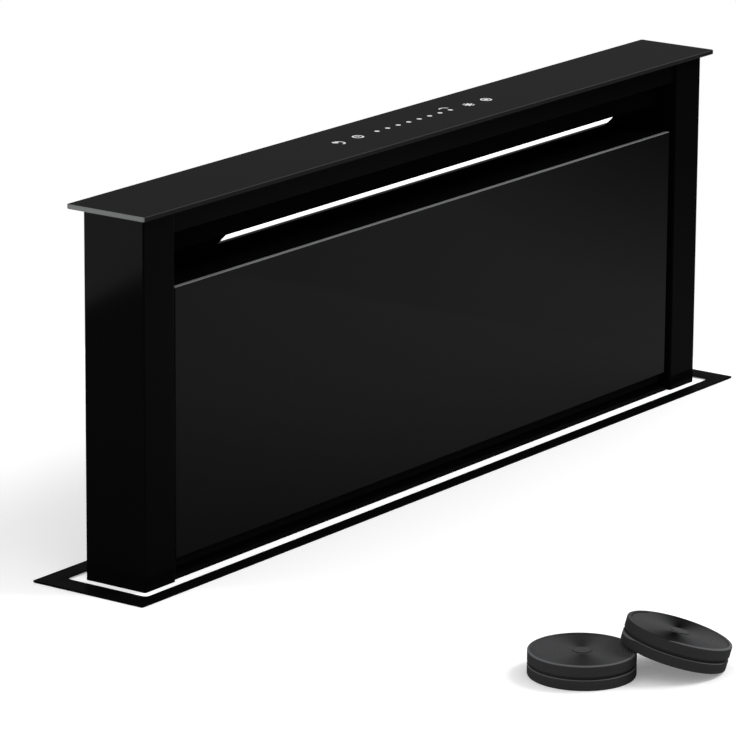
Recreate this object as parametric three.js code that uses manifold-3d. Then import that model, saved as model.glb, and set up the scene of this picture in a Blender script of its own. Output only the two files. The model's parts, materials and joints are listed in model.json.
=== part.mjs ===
// A rising downdraft vent, built into a worktop. A belt lift raises a glass-fronted tower out of a
// sheet-metal case. Air enters the slot above the front glass, passes two grease filters, falls
// through the tower and the case, and leaves through a double-inlet blower and a round duct collar.
//
// Units are millimetres. The origin is the centre of the cut-out, on the worktop. X runs along the
// vent, -Y faces the cook and Z is up. The tower is modelled raised.

import * as THREE from "three";
import { mergeVertices } from "three/addons/utils/BufferGeometryUtils.js";
import Module from "manifold-3d";

const wasm = await Module();
wasm.setup();

// ---- Driving dimensions ----------------------------------------------------

// Fits
const seam = 0.25; // between fixed neighbours
const runningGap = 0.4; // between pieces that slide or turn on each other
const overrun = 2; // how far a cutting tool passes the face that it cuts
const weldDistance = 1e-4; // corners closer than this are one corner

// Worktop flange and the opening that the tower rises through
const openingWidth = 851;
const openingDepth = 90;
const flangeSideBorder = 14.5;
const flangeFrontBorder = 8;
const flangeBackBorder = 15;
const flangeThickness = 1.25;
const flangeCornerRadius = 1.5;
const lipThickness = 1.25;
const lipDepth = 12;
const gasketThickness = 0.5;
const gasketWidth = 4;
const gasketInset = 0.5;

// Sheet-metal case under the worktop
const sheet = 1.5;
const caseDepth = 445;
const endReturn = 10;
const traySide = 12;
const beadHalfWidth = 9;
const beadHeight = 2;
const beadTop = 60; // middle of the highest bead below the worktop
const beadSpacing = 46;

// Tower
const towerSideGap = 17.5; // between the tower and the edge of the opening
const towerDepth = 61;
const capHeight = 308; // underside of the cap above the worktop
const towerFoot = 80; // how far the tower reaches below the worktop when raised
const columnWidth = 39.5;
const columnWall = 1.5;
const columnCorner = 1.5;
const panelRecess = 3.5;

// Top cap, its tray and the touch board
const capThickness = 4;
const capSideOverhang = 9.5;
const capFrontOverhang = 8;
const capBackOverhang = 9.5;
const glassBevel = 0.5;
const capCorner = 2;
const trayPlate = 1.25;
const trayMargin = 0.5;
const windowLeft = -126;
const windowRight = 132;
const windowFront = -12;
const windowBack = 16;
const windowFlange = 7;
const boardThickness = 1.5;
const padRadius = 5;
const padHeight = 0.25;
const padRowY = 2;
const padSpacing = 27.5;
const leftPadX = -106;
const leftPads = 2;
const rightPadX = 85;
const rightPads = 2;
const sliderLeft = -52;
const sliderRight = 60;
const sliderHalfWidth = 3;

// Front glass panel and its steel frame
const panelSideGap = 5; // between the front glass and a column
const panelBottom = 17.5;
const panelHeight = 226;
const panelThickness = 4;
const panelCorner = 1;
const frameInset = 3.5;
const frameBorderSide = 26;
const frameBorderEnd = 24;
const hookWidth = 16;
const hookInset = 6;
const hookReach = 5;
const hookDrop = 8;
const hookTop = 184;
const hookGauge = 1.5;
const ledgeLength = 28;
const ledgeHeight = 34;
const ledgeFront = -19.5; // from the tower's centre plane
const ledgeGauge = 1.5;

// Upper fascia and the light bar
const fasciaHeight = 17.75;
const fasciaUpperReturn = 8;
const fasciaLowerReturn = 21;
const barFront = -17.5;
const barBack = -2.5;
const barTip = -4;
const barWall = 2;
const lightDrop = 36.25; // from the fascia to where the sloping light face would meet the centre plane
const stripY = -12.1;
const stripLength = 568;
const stripWidth = 10.3;
const diffuserThickness = 2;
const grooveDepth = 7;
const lightBoardWidth = 8;
const lightBoardThickness = 1;

// Grease filters, the crossmember under them and the baffle over them
const filterFront = -15;
const filterThickness = 9;
const filterTop = 236;
const filterSideGap = 9;
const filterFrame = 12;
const filterCorner = 3;
const pleatPitch = 15;
const pleatHeight = 6;
const pleatGauge = 0.8;
const coreTuck = 1; // how far the pleated core runs into its frame
const latchWidth = 31;
const latchPocket = 14;
const latchTravel = 4;
const latchTongue = 5;
const latchTongueDepth = 3;
const latchChamfer = 1;
const shelfTop = 4; // above the worktop
const shelfBack = -4;
const shelfTail = 12;
const retainerHeight = 5;
const retainerGauge = 2;
const baffleLip = 238;
const baffleTop = 243;
const shellReturn = 15;

// Belt lift at both ends of the case
const railBase = 2.25;
const railWidth = 24;
const railTongue = 7.5;
const railTongueWidth = 4;
const railY = 26;
const bracketPlate = 2.25;
const bracketHeight = 38;
const forkLength = 13;
const forkWidth = 20;
const jawWidth = 8;
const jawLength = 10.5;
const pulleyPitchRadius = 9;
const pulleyWidth = 9;
const pulleyTeeth = 10;
const pulleyToothDepth = 0.8;
const pulleyCrownShare = 0.35; // of the tooth pitch
const pulleyFlankShare = 0.1;
const pulleyFlangeRadius = 11;
const pulleyFlange = 1;
const beltThickness = 1.5;
const beltSideGap = 0.25;
const beltOffset = 2; // of the belt towards the tower, from the middle of the gap beside it
const shaftY = -12;
const shaftHeight = 27; // above the underside of the case
const shaftRadius = 4;
const idlerDrop = 26;
const axleRadius = 3;
const axleShoulderRadius = 5.5;
const bearingHalfWidth = 14;
const bearingFoot = 14;

// Lift gears and motor
const gearModule = 1.5;
const shaftGearTeeth = 24;
const motorGearTeeth = 15;
const pressureAngle = THREE.MathUtils.degToRad(20);
const gearBacklash = 0.2;
const gearDedendum = 1.25; // in modules
const toothFlare = 0.1; // how much a tooth widens at its foot, in radians over the number of teeth
const gearInset = 85.5; // from the middle of the right belt
const gearWidth = 10;
const gearHubRadius = 8;
const gearHubLength = 8;
const gearboxRadius = 16;
const gearboxLength = 30;
const liftMotorRadius = 14;
const liftMotorLength = 50;
const motorBossRadius = 4.5;
const motorBossLength = 4.5;
const motorPlate = 2.5;
const motorPlateHalfWidth = 18;
const motorFoot = 25;
const motorShaftRadius = 3;
const motorShaftEnd = 2; // of the shaft beyond its gear

// Blower box on the front of the case
const boxHalfWidth = 160;
const boxHeight = 267;
const boxCorner = 6;
const boxRim = 11;
const airHalfWidth = 150;
const airSill = 15; // of the air opening above the underside of the case
const airHeight = 100;
const fanBoxGap = 4.5; // between the scroll and the blower box
const fanHeight = 145; // of the fan axis above the underside of the case

// Scroll and impeller
const scrollHalfWidth = 52;
const scrollWall = 2;
const tongueClearance = 6; // between the impeller and the start of the spiral
const scrollGrowth = 28;
const tongueAngle = THREE.MathUtils.degToRad(-140);
const scrollSweep = THREE.MathUtils.degToRad(310);
const scrollSteps = 20;
const outletTop = -18; // from the fan axis
const outletFlange = 18; // of the scroll, behind the blower cover
const eyeRadius = 43;
const impellerRadius = 58;
const bladeInnerRadius = 46;
const impellerHalfWidth = 44;
const bladeCount = 24;
const bladeGauge = 1.2;
const bladeSweep = THREE.MathUtils.degToRad(8.3);
const bladeEndGap = 0.4;
const bladeSteps = 2;
const impellerRing = 1.5;
const impellerDisc = 2;
const impellerHubRadius = 9;
const impellerHubLength = 8;
const fanShaftRadius = 4;
const fanShaftReach = 13;
const fanShaftEnd = 1; // of the shaft beyond the hub, and of the motor's bore beyond the shaft
const blowerMotorRadius = 30;
const blowerMotorFront = 5.5;
const blowerMotorBack = 50;
const motorShoulder = 4;
const inletThroat = 40;
const inletWall = 1.5;
const inletRim = 50;
const inletNose = 5; // how far the bell reaches into the eye
const spigotLength = 8;
const spiderArms = 3;
const spiderArmWidth = 8;
const spiderThickness = 3;
const spiderHub = 18;

// Duct collar with its damper
const collarRadius = 75;
const collarWall = 1.5;
const collarLength = 58;
const collarFlange = 13;
const damperSetback = 15;
const damperPinRadius = 1.5;
const knuckleWall = 1.5;
const knuckleLength = 30;
const knuckleGap = 1;
const leftKnuckles = [-1, 1]; // lower ends along the pin from its middle, in knuckle lengths
const rightKnuckles = [0, -2];
const flapThickness = 1.5;
const flapClearance = 2;
const flapHinge = 4.5;
const flapTab = 2; // how far a knuckle's tab runs onto its flap

// Control box
const controlGap = 40; // between the blower box and the control box
const controlWidth = 160;
const controlDepth = 42;
const controlTop = 230; // below the worktop
const controlHeight = 100;
const controlWall = 2;
const controlLid = 2.5;
const controlCorner = 4;
const glandAcrossCorners = 20;
const glandHex = 8;
const glandDome = 12;
const glandBore = 4;
const glandThreadWall = 2;
const glandThreadEnd = 3; // of the thread inside the control box
const glandNutInset = 1;
const glandRound = 3.5;

// Support brackets on the front of the case
const supportGauge = 2;
const supportHeight = 45;
const supportFoot = 32;
const supportInset = 28.5; // from the end of the case
const supportHalfWidth = 20;
const slotHalfWidth = 3;
const slotHalfLength = 6;

// Round charcoal filters
const carbonRadius = 42;
const carbonHeight = 20;
const carbonGroove = 2.5;
const carbonGrooveDepth = 2.5;
const carbonBase = 8.5;
const carbonRound = 1.5;
const carbonDish = 1;
const carbonRim = 4;
const carbonHub = 6;
const carbonX = -367;
const carbonY = -422.5;
const leanAngle = THREE.MathUtils.degToRad(16);
const leanHeading = THREE.MathUtils.degToRad(-42);

// Facets on round pieces
const smallFacets = 12;
const mediumFacets = 20;
const largeFacets = 32;
const cornerFacets = 3;

// ---- Values worked out from them -------------------------------------------

const flangeBottom = gasketThickness;
const flangeTop = flangeBottom + flangeThickness;
const openingX = openingWidth / 2;
const openingY = openingDepth / 2;
const caseX = openingX + lipThickness + seam; // inner faces of the case
const caseY = openingY + lipThickness + seam;
const caseOuterX = caseX + sheet;
const caseOuterY = caseY + sheet;
const caseTop = flangeBottom - seam;
const caseFloor = -caseDepth + sheet + seam; // what stands on the floor tray
const beadLimit = caseDepth - beadTop - beadHalfWidth; // below the middle of the highest bead
const frontBeads = 1 + Math.floor((beadLimit - boxHeight) / beadSpacing);
const rearBeads = 1 + Math.floor((beadLimit - beadHalfWidth - traySide) / beadSpacing);
const towerX = openingX - towerSideGap;
const towerY = towerDepth / 2;
const columnInnerX = towerX - columnWidth;
const infillX = columnInnerX - seam; // half length of what spans the columns
const trayTop = capHeight - seam;
const trayBottom = trayTop - trayPlate;
const structureTop = trayBottom - seam;
const fasciaBottom = structureTop - fasciaHeight;
const lightPlane = fasciaBottom - lightDrop;
const panelHalfWidth = columnInnerX - panelSideGap;
const panelFront = -towerY + panelRecess;
const panelBack = panelFront + panelThickness;
const panelTop = panelBottom + panelHeight;
const filterBack = filterFront + filterThickness;
const filterBottom = shelfTop + seam;
const latchFloor = filterTop - latchPocket;
const shaftZ = -caseDepth + shaftHeight;
const idlerZ = -idlerDrop;
const motorY = shaftY + gearModule * (shaftGearTeeth + motorGearTeeth) / 2 + gearBacklash;
const beltX = (towerX + caseX) / 2 - beltOffset; // middle of the belt
const gearX = beltX - gearInset;
const scrollStartRadius = impellerRadius + tongueClearance;
const scrollEndRadius = scrollStartRadius + scrollGrowth;
const fanSetback = scrollEndRadius + scrollWall + fanBoxGap; // of the fan axis from the blower cover
const fanY = -caseOuterY - seam - fanSetback;
const fanZ = -caseDepth + fanHeight;
const boxFront = fanY - fanSetback;
const ductZ = fanZ + (outletTop - scrollEndRadius) / 2;
const coverFront = boxFront - seam - sheet;
const damperY = coverFront - seam - damperSetback;
const knuckleBore = damperPinRadius + runningGap;
const knuckleRadius = knuckleBore + knuckleWall;
const controlLeft = boxHalfWidth + controlGap;
const glandX = controlLeft + controlWidth / 2;
const glandThread = glandBore + glandThreadWall;
const supportX = caseOuterX - supportInset - supportHalfWidth;

// ---- Outlines: closed lists of points in a plane ---------------------------

// Points on an arc about a centre, from one angle to another.
function arc(u, v, radius, from, to, steps) {
  const points = [];
  for (let i = 0; i <= steps; i++) {
    const angle = from + (to - from) * i / steps;
    points.push([u + radius * Math.cos(angle), v + radius * Math.sin(angle)]);
  }
  return points;
}

function circle(u, v, radius, facets) {
  return arc(u, v, radius, 0, 2 * Math.PI, facets).slice(0, -1);
}

function rectangle(left, right, low, high) {
  return [[left, low], [right, low], [right, high], [left, high]];
}

function roundedRectangle(left, right, low, high, radius) {
  const quarter = Math.PI / 2;
  return [
    ...arc(right - radius, low + radius, radius, -quarter, 0, cornerFacets),
    ...arc(right - radius, high - radius, radius, 0, quarter, cornerFacets),
    ...arc(left + radius, high - radius, radius, quarter, 2 * quarter, cornerFacets),
    ...arc(left + radius, low + radius, radius, 2 * quarter, 3 * quarter, cornerFacets),
  ];
}

// An upright slot with round ends.
function capsule(u, low, high, radius, steps) {
  return [
    ...arc(u, high - radius, radius, 0, Math.PI, steps),
    ...arc(u, low + radius, radius, Math.PI, 2 * Math.PI, steps),
  ];
}

// A folded sheet seen from its end: a centre line thickened to both sides with mitred corners.
function foldedSheet(line, gauge) {
  const ends = line.slice(1).map(([u, v], i) => {
    const [u0, v0] = line[i];
    const length = Math.hypot(u - u0, v - v0);
    return [-(v - v0) / length, (u - u0) / length];
  });
  const offset = (side) =>
    line.map(([u, v], i) => {
      const before = ends[Math.max(i - 1, 0)];
      const after = ends[Math.min(i, ends.length - 1)];
      const scale = side * gauge / 2 / (1 + before[0] * after[0] + before[1] * after[1]);
      return [u + scale * (before[0] + after[0]), v + scale * (before[1] + after[1])];
    });
  return [...offset(-1), ...offset(1).reverse()];
}

function mirrored(outline, side) {
  return outline.map(([u, v]) => [side * u, v]);
}

// An involute spur gear with a tooth centred on the first axis.
function gearOutline(teeth, module, turn) {
  const pitch = module * teeth / 2;
  const base = pitch * Math.cos(pressureAngle);
  const tip = pitch + module;
  const root = pitch - gearDedendum * module;
  const involute = (radius) => {
    const roll = Math.sqrt(Math.max((radius / base) ** 2 - 1, 0));
    return roll - Math.atan(roll);
  };
  const halfTooth = (Math.PI / 2 - gearBacklash / module) / teeth + involute(pitch);
  const start = Math.max(base, root);
  const radii = [start, (start + tip) / 2, tip];
  const points = [];
  for (let tooth = 0; tooth < teeth; tooth++) {
    const centre = turn + 2 * Math.PI * tooth / teeth;
    const flank = (side, list) =>
      list.forEach((radius) => {
        const angle = centre + side * (halfTooth - involute(radius));
        points.push([radius * Math.cos(angle), radius * Math.sin(angle)]);
      });
    const foot = (side) => {
      const angle = centre + side * (halfTooth + toothFlare / teeth);
      points.push([root * Math.cos(angle), root * Math.sin(angle)]);
    };
    foot(-1);
    flank(-1, radii);
    flank(1, [...radii].reverse());
    foot(1);
  }
  return points;
}

// ---- Solids ----------------------------------------------------------------

function shapeOf(outline) {
  return new THREE.Shape(outline.map(([u, v]) => new THREE.Vector2(u, v)));
}

// An outline carried from zero to a depth, with its end edges bevelled and its holes cut through.
function extrude(outline, depth, holes, bevel) {
  const body = new THREE.ExtrudeGeometry(shapeOf(outline), {
    depth: depth - 2 * bevel,
    bevelEnabled: bevel > 0,
    bevelThickness: bevel,
    bevelSize: bevel,
    bevelOffset: -bevel,
    bevelSegments: 1,
  }).translate(0, 0, bevel);
  if (!holes.length) return body;
  const settings = { depth: depth + 2 * overrun, bevelEnabled: false };
  const tools = holes.map((hole) =>
    new THREE.ExtrudeGeometry(shapeOf(hole), settings).translate(0, 0, -overrun),
  );
  return cut(body, ...tools);
}

const alongX = new THREE.Vector3(1, 0, 0);
const alongY = new THREE.Vector3(0, 1, 0);
const alongZ = new THREE.Vector3(0, 0, 1);
const againstY = new THREE.Vector3(0, -1, 0);

// An outline in X and Y, carried upward.
function upright(outline, low, high, holes = [], bevel = 0) {
  return extrude(outline, high - low, holes, bevel).translate(0, 0, low);
}

// An outline in Y and Z, carried from left to right.
function crosswise(outline, left, right, holes = [], bevel = 0) {
  const turn = new THREE.Matrix4().makeBasis(alongY, alongZ, alongX);
  return extrude(outline, right - left, holes, bevel).applyMatrix4(turn).translate(left, 0, 0);
}

// An outline in X and Z, carried from front to back.
function lengthwise(outline, front, back, holes = [], bevel = 0) {
  const turn = new THREE.Matrix4().makeBasis(alongX, alongZ, againstY);
  return extrude(outline, back - front, holes, bevel).applyMatrix4(turn).translate(0, back, 0);
}

// A profile of radius and height, counter-clockwise, turned about Z.
function turned(profile, facets) {
  const points = profile.map(([radius, height]) => new THREE.Vector2(radius, height));
  return new THREE.LatheGeometry(points, facets).rotateX(Math.PI / 2);
}

// The same turned about X, with the heights running to +X or to -X.
function turnedAlongX(profile, facets, side = 1) {
  return turned(profile, facets).rotateY(side * Math.PI / 2);
}

function solidOf(geometry) {
  const bare = geometry.index ? geometry.toNonIndexed() : geometry.clone();
  bare.deleteAttribute("normal");
  bare.deleteAttribute("uv");
  const merged = mergeVertices(bare, weldDistance);
  const corners = merged.index.array;
  const kept = [];
  for (let i = 0; i < corners.length; i += 3) {
    const [a, b, c] = corners.slice(i, i + 3);
    if (a !== b && b !== c && c !== a) kept.push(a, b, c);
  }
  const vertProperties = merged.attributes.position.array;
  const mesh = new wasm.Mesh({ numProp: 3, vertProperties, triVerts: new Uint32Array(kept) });
  return new wasm.Manifold(mesh);
}

function geometryOf(solid) {
  const mesh = solid.getMesh();
  const geometry = new THREE.BufferGeometry();
  const position = new THREE.BufferAttribute(new Float32Array(mesh.vertProperties), 3);
  geometry.setAttribute("position", position);
  geometry.setIndex(new THREE.BufferAttribute(new Uint32Array(mesh.triVerts), 1));
  geometry.computeVertexNormals();
  return geometry;
}

function join(...geometries) {
  return geometryOf(geometries.map(solidOf).reduce((whole, part) => whole.add(part)));
}

function cut(geometry, ...tools) {
  const tool = tools.map(solidOf).reduce((whole, part) => whole.add(part));
  return geometryOf(solidOf(geometry).subtract(tool));
}

// ---- Finishes --------------------------------------------------------------

function finish(color, roughness, metalness) {
  return () => new THREE.MeshStandardMaterial({ color, roughness, metalness });
}

const blackGlass = finish(0x0a0a0b, 0.08, 0);
const blackSteel = finish(0x0c0c0d, 0.35, 0.4);
const flangeSteel = finish(0x0b0b0b, 0.6, 0.3);
const zincSteel = finish(0xb4b8ba, 0.45, 0.9);
const brightSteel = finish(0xc8cacc, 0.25, 1);
const aluminium = finish(0xc4c6c8, 0.4, 0.9);
const litDiffuser = finish(0xffffff, 0.5, 0);
const lightBoard = finish(0xe6e6e0, 0.6, 0);
const circuitBoard = finish(0x1d4a30, 0.5, 0);
const blackPlastic = finish(0x161618, 0.55, 0);
const greyPlastic = finish(0x4a4c50, 0.6, 0);
const charcoalPlastic = finish(0x303134, 0.5, 0);
const blackRubber = finish(0x101010, 0.9, 0);
const acetal = finish(0xe8e6df, 0.5, 0);

function piece(name, geometry, material) {
  const mesh = new THREE.Mesh(geometryOf(solidOf(geometry)), material());
  mesh.name = name;
  return mesh;
}

function placed(object, x, y, z) {
  object.position.set(x, y, z);
  return object;
}

function group(...objects) {
  const parent = new THREE.Group();
  parent.add(...objects);
  return parent;
}

const sides = [
  { word: "left", side: -1 },
  { word: "right", side: 1 },
];

// ---- Worktop flange --------------------------------------------------------

function flangeOutline(inset) {
  return roundedRectangle(
    -openingX - flangeSideBorder + inset,
    openingX + flangeSideBorder - inset,
    -openingY - flangeFrontBorder + inset,
    openingY + flangeBackBorder - inset,
    flangeCornerRadius,
  );
}

function worktopFlange() {
  const opening = rectangle(-openingX, openingX, -openingY, openingY);
  const lipX = openingX + lipThickness;
  const lipY = openingY + lipThickness;
  const plate = upright(flangeOutline(0), flangeBottom, flangeTop, [opening]);
  const lip = upright(rectangle(-lipX, lipX, -lipY, lipY), -lipDepth, flangeTop, [opening]);
  return join(plate, lip);
}

function flangeGasket() {
  const inner = flangeOutline(gasketInset + gasketWidth);
  return upright(flangeOutline(gasketInset), 0, gasketThickness, [inner]);
}

// ---- Case ------------------------------------------------------------------

// A front (side -1) or rear (side 1) wall: a sheet with stiffening beads pressed outward.
function caseWall(side, beads) {
  const y = side * (caseY + sheet / 2);
  const raised = y + side * beadHeight;
  const line = [[y, -caseDepth]];
  for (let bead = beads - 1; bead >= 0; bead--) {
    const middle = -beadTop - bead * beadSpacing;
    line.push(
      [y, middle - beadHalfWidth],
      [raised, middle - beadHalfWidth + beadHeight],
      [raised, middle + beadHalfWidth - beadHeight],
      [y, middle + beadHalfWidth],
    );
  }
  line.push([y, caseTop]);
  return crosswise(foldedSheet(line, sheet), -caseOuterX, caseOuterX);
}

function caseFrontPanel() {
  const opening = lengthwise(airOpening(), -caseOuterY - overrun, -caseY + overrun);
  return cut(caseWall(-1, frontBeads), opening);
}

function airOpening() {
  const low = -caseDepth + airSill;
  return rectangle(-airHalfWidth, airHalfWidth, low, low + airHeight);
}

// An end channel with its returns cut back under the flange lip, and the stud that carries the idler.
function caseEnd(side) {
  const mid = caseX + sheet / 2;
  const edge = caseX - endReturn;
  const y = caseY - seam - sheet / 2;
  const channel = mirrored(foldedSheet([[edge, -y], [mid, -y], [mid, y], [edge, y]], sheet), side);
  const body = upright(channel, caseFloor, caseTop);
  const clearance = rectangle(edge - overrun, caseX, -caseOuterY, caseOuterY);
  const notch = upright(mirrored(clearance, side), -lipDepth - seam, caseTop + overrun);
  const studs = [
    [axleRadius, beltX - pulleyWidth / 2 - pulleyFlange - seam * 2],
    [axleShoulderRadius, beltX + pulleyWidth / 2 + pulleyFlange + seam],
  ].map(([radius, start]) => {
    const outline = circle(shaftY, idlerZ, radius, smallFacets);
    return crosswise(outline, Math.min(side * start, side * mid), Math.max(side * start, side * mid));
  });
  return join(cut(body, notch), ...studs);
}

function floorTray() {
  const returnFace = caseY - seam - sheet; // inside of the end channels' returns
  const y = returnFace - seam - sheet / 2;
  const low = -caseDepth + sheet / 2;
  const line = [[-y, low + traySide], [-y, low], [y, low], [y, low + traySide]];
  return crosswise(foldedSheet(line, sheet), -caseX + seam, caseX - seam);
}

// ---- Belt lift -------------------------------------------------------------

function guideRail(side) {
  const wall = caseX - seam;
  const shoulder = wall - railBase;
  const nose = shoulder - railTongue;
  const base = railWidth / 2;
  const tongue = railTongueWidth / 2;
  const outline = [
    [wall, railY - base],
    [wall, railY + base],
    [shoulder, railY + base],
    [shoulder, railY + tongue],
    [nose, railY + tongue],
    [nose, railY - tongue],
    [shoulder, railY - tongue],
    [shoulder, railY - base],
  ];
  return upright(mirrored(outline, side), caseFloor, -lipDepth - 2 * seam);
}

// Guide shoe and belt jaw on one plate, seen from above as a plate with two forks.
function liftBracket(side) {
  const face = towerX + seam;
  const plate = face + bracketPlate;
  const fork = plate + forkLength;
  const jaw = plate + jawLength;
  const slotNose = caseX - seam - railBase - railTongue - runningGap;
  const slotHalf = railTongueWidth / 2 + runningGap;
  const forkHalf = forkWidth / 2;
  const runY = shaftY + pulleyPitchRadius;
  const jawHalf = jawWidth / 2;
  const beltHalf = beltThickness / 2 + runningGap;
  const beltNose = beltX - pulleyWidth / 2 + beltSideGap - runningGap;
  const outline = [
    [face, runY - jawHalf],
    [jaw, runY - jawHalf],
    [jaw, runY - beltHalf],
    [beltNose, runY - beltHalf],
    [beltNose, runY + beltHalf],
    [jaw, runY + beltHalf],
    [jaw, runY + jawHalf],
    [plate, runY + jawHalf],
    [plate, railY - forkHalf],
    [fork, railY - forkHalf],
    [fork, railY - slotHalf],
    [slotNose, railY - slotHalf],
    [slotNose, railY + slotHalf],
    [fork, railY + slotHalf],
    [fork, railY + forkHalf],
    [face, railY + forkHalf],
  ];
  return upright(mirrored(outline, side), -towerFoot, -towerFoot + bracketHeight);
}

// A toothed pulley between two flanges, about its own axis.
function pulley(bore) {
  const crown = pulleyPitchRadius - beltThickness / 2 - seam;
  const root = crown - pulleyToothDepth;
  const outline = [];
  const step = 2 * Math.PI / pulleyTeeth;
  for (let tooth = 0; tooth < pulleyTeeth; tooth++) {
    const foot = pulleyCrownShare + pulleyFlankShare;
    const points = [
      [crown, 0],
      [crown, pulleyCrownShare],
      [root, foot],
      [root, 1 - pulleyFlankShare],
    ];
    points.forEach(([radius, share]) => {
      const angle = step * (tooth + share);
      outline.push([radius * Math.cos(angle), radius * Math.sin(angle)]);
    });
  }
  const hole = circle(0, 0, bore, smallFacets);
  const rim = circle(0, 0, pulleyFlangeRadius, mediumFacets);
  const half = pulleyWidth / 2;
  return join(
    crosswise(outline, -half - pulleyFlange / 2, half + pulleyFlange / 2, [hole]),
    crosswise(rim, -half - pulleyFlange, -half, [hole]),
    crosswise(rim, half, half + pulleyFlange, [hole]),
  );
}

function timingBelt() {
  const loop = (radius) => capsule(0, shaftZ - radius, idlerZ + radius, radius, mediumFacets / 2);
  const half = pulleyWidth / 2 - beltSideGap;
  const outer = loop(pulleyPitchRadius + beltThickness / 2);
  const inner = loop(pulleyPitchRadius - beltThickness / 2);
  return crosswise(outer, -half, half, [inner]);
}

function crossShaft() {
  const end = caseX - 4 * seam;
  return crosswise(circle(0, 0, shaftRadius, smallFacets), -end, end);
}

function shaftBearing(side) {
  const outline = [
    ...arc(0, 0, bearingHalfWidth, 0, Math.PI, smallFacets / 2),
    [-bearingHalfWidth, -bearingFoot],
    [bearingHalfWidth, -bearingFoot],
  ];
  const near = beltX + pulleyWidth / 2 + pulleyFlange + seam;
  const far = caseX - seam;
  const bore = circle(0, 0, shaftRadius + runningGap, smallFacets);
  return crosswise(outline, Math.min(side * near, side * far), Math.max(side * near, side * far), [bore]);
}

function shaftGear() {
  const bore = circle(0, 0, shaftRadius + seam, smallFacets);
  const rim = gearOutline(shaftGearTeeth, gearModule, 0);
  const hub = circle(0, 0, gearHubRadius, smallFacets);
  return join(
    crosswise(rim, 0, gearWidth, [bore]),
    crosswise(hub, gearWidth / 2, gearWidth + gearHubLength, [bore]),
  );
}

// The pinion with the motor's output shaft, about its own axis. A space faces the larger gear.
function motorGear() {
  const turn = motorGearTeeth % 2 ? 0 : Math.PI / motorGearTeeth;
  const outline = gearOutline(motorGearTeeth, gearModule, turn);
  const shaft = circle(0, 0, motorShaftRadius, smallFacets);
  const start = gearX - 2 * motorPlate + seam;
  const far = gearX + gearWidth;
  return join(crosswise(outline, gearX, far), crosswise(shaft, start, far + motorShaftEnd));
}

// Gearmotor on a plate with a foot, about its own axis: motor can, gearbox, plate, foot and boss.
function liftMotor() {
  const face = gearX - 2 * motorPlate;
  const plateBack = face - motorPlate;
  const box = plateBack - gearboxLength;
  const can = box - liftMotorLength;
  const low = caseFloor - shaftZ;
  const plate = [
    [-motorPlateHalfWidth, low],
    [motorPlateHalfWidth, low],
    ...arc(0, 0, motorPlateHalfWidth, 0, Math.PI, smallFacets / 2),
  ];
  const profile = [
    [0, can - motorBossLength],
    [motorBossRadius, can - motorBossLength],
    [motorBossRadius, can],
    [liftMotorRadius, can],
    [liftMotorRadius, box],
    [gearboxRadius, box],
    [gearboxRadius, plateBack + motorPlate / 2],
    [0, plateBack + motorPlate / 2],
  ];
  const foot = rectangle(-motorPlateHalfWidth, motorPlateHalfWidth, low, low + motorPlate);
  return join(
    turnedAlongX(profile, mediumFacets),
    crosswise(plate, plateBack, face),
    crosswise(foot, plateBack - motorFoot, face),
  );
}

// ---- Blower box ------------------------------------------------------------

function boxOutline(inset, radius) {
  const width = boxHalfWidth - inset;
  return roundedRectangle(-width, width, -caseDepth + inset, -caseDepth + boxHeight - inset, radius);
}

// Open at the front inside an inward rim, with the air opening in its back wall.
function blowerBox() {
  const back = -caseOuterY - seam;
  const shell = lengthwise(boxOutline(0, boxCorner), boxFront, back);
  const room = lengthwise(boxOutline(sheet, boxCorner - sheet), boxFront + sheet, back - sheet);
  const mouth = lengthwise(boxOutline(boxRim, boxCorner), boxFront - overrun, boxFront + 2 * sheet);
  const inlet = lengthwise(airOpening(), back - 2 * sheet, back + overrun);
  return cut(shell, room, mouth, inlet);
}

function blowerCover() {
  const hole = circle(0, ductZ, collarRadius - 2 * collarWall, largeFacets);
  return lengthwise(boxOutline(seam * 2, boxCorner), coverFront, boxFront - seam, [hole]);
}

// The inside of the scroll in Y and Z from the fan axis: a growing spiral, then a straight outlet.
function scrollOutline(wall) {
  const points = [];
  for (let i = 0; i <= scrollSteps; i++) {
    const share = i / scrollSteps;
    const angle = tongueAngle - scrollSweep * share;
    const radius = scrollStartRadius + (scrollEndRadius - scrollStartRadius) * share + wall;
    points.push([radius * Math.cos(angle), radius * Math.sin(angle)]);
  }
  points.push([-fanSetback, -scrollEndRadius - wall], [-fanSetback, outletTop + wall]);
  return points;
}

// Half of the scroll: a side wall with its eye, half the width of the spiral wall, and half of the
// flange that the blower cover holds.
function scrollHalf(side) {
  const between = (a, b) => [Math.min(side * a, side * b), Math.max(side * a, side * b)];
  const gate = rectangle(-fanSetback - overrun, -fanSetback + overrun, -scrollEndRadius, outletTop);
  const plate = scrollHalfWidth - scrollWall;
  const border = scrollWall + outletFlange;
  const rim = rectangle(
    ...between(seam / 2, scrollHalfWidth + outletFlange),
    -scrollEndRadius - border,
    outletTop + border,
  );
  const flange = lengthwise(rim, -fanSetback, -fanSetback + scrollWall);
  const shell = crosswise(scrollOutline(scrollWall), ...between(seam / 2, scrollHalfWidth));
  const hollow = crosswise(scrollOutline(0), ...between(-overrun, plate));
  const outlet = crosswise(gate, ...between(-overrun, plate));
  const eye = crosswise(circle(0, 0, eyeRadius, largeFacets), ...between(0, scrollHalfWidth + overrun));
  return cut(join(shell, flange), hollow, outlet, eye);
}

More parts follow.
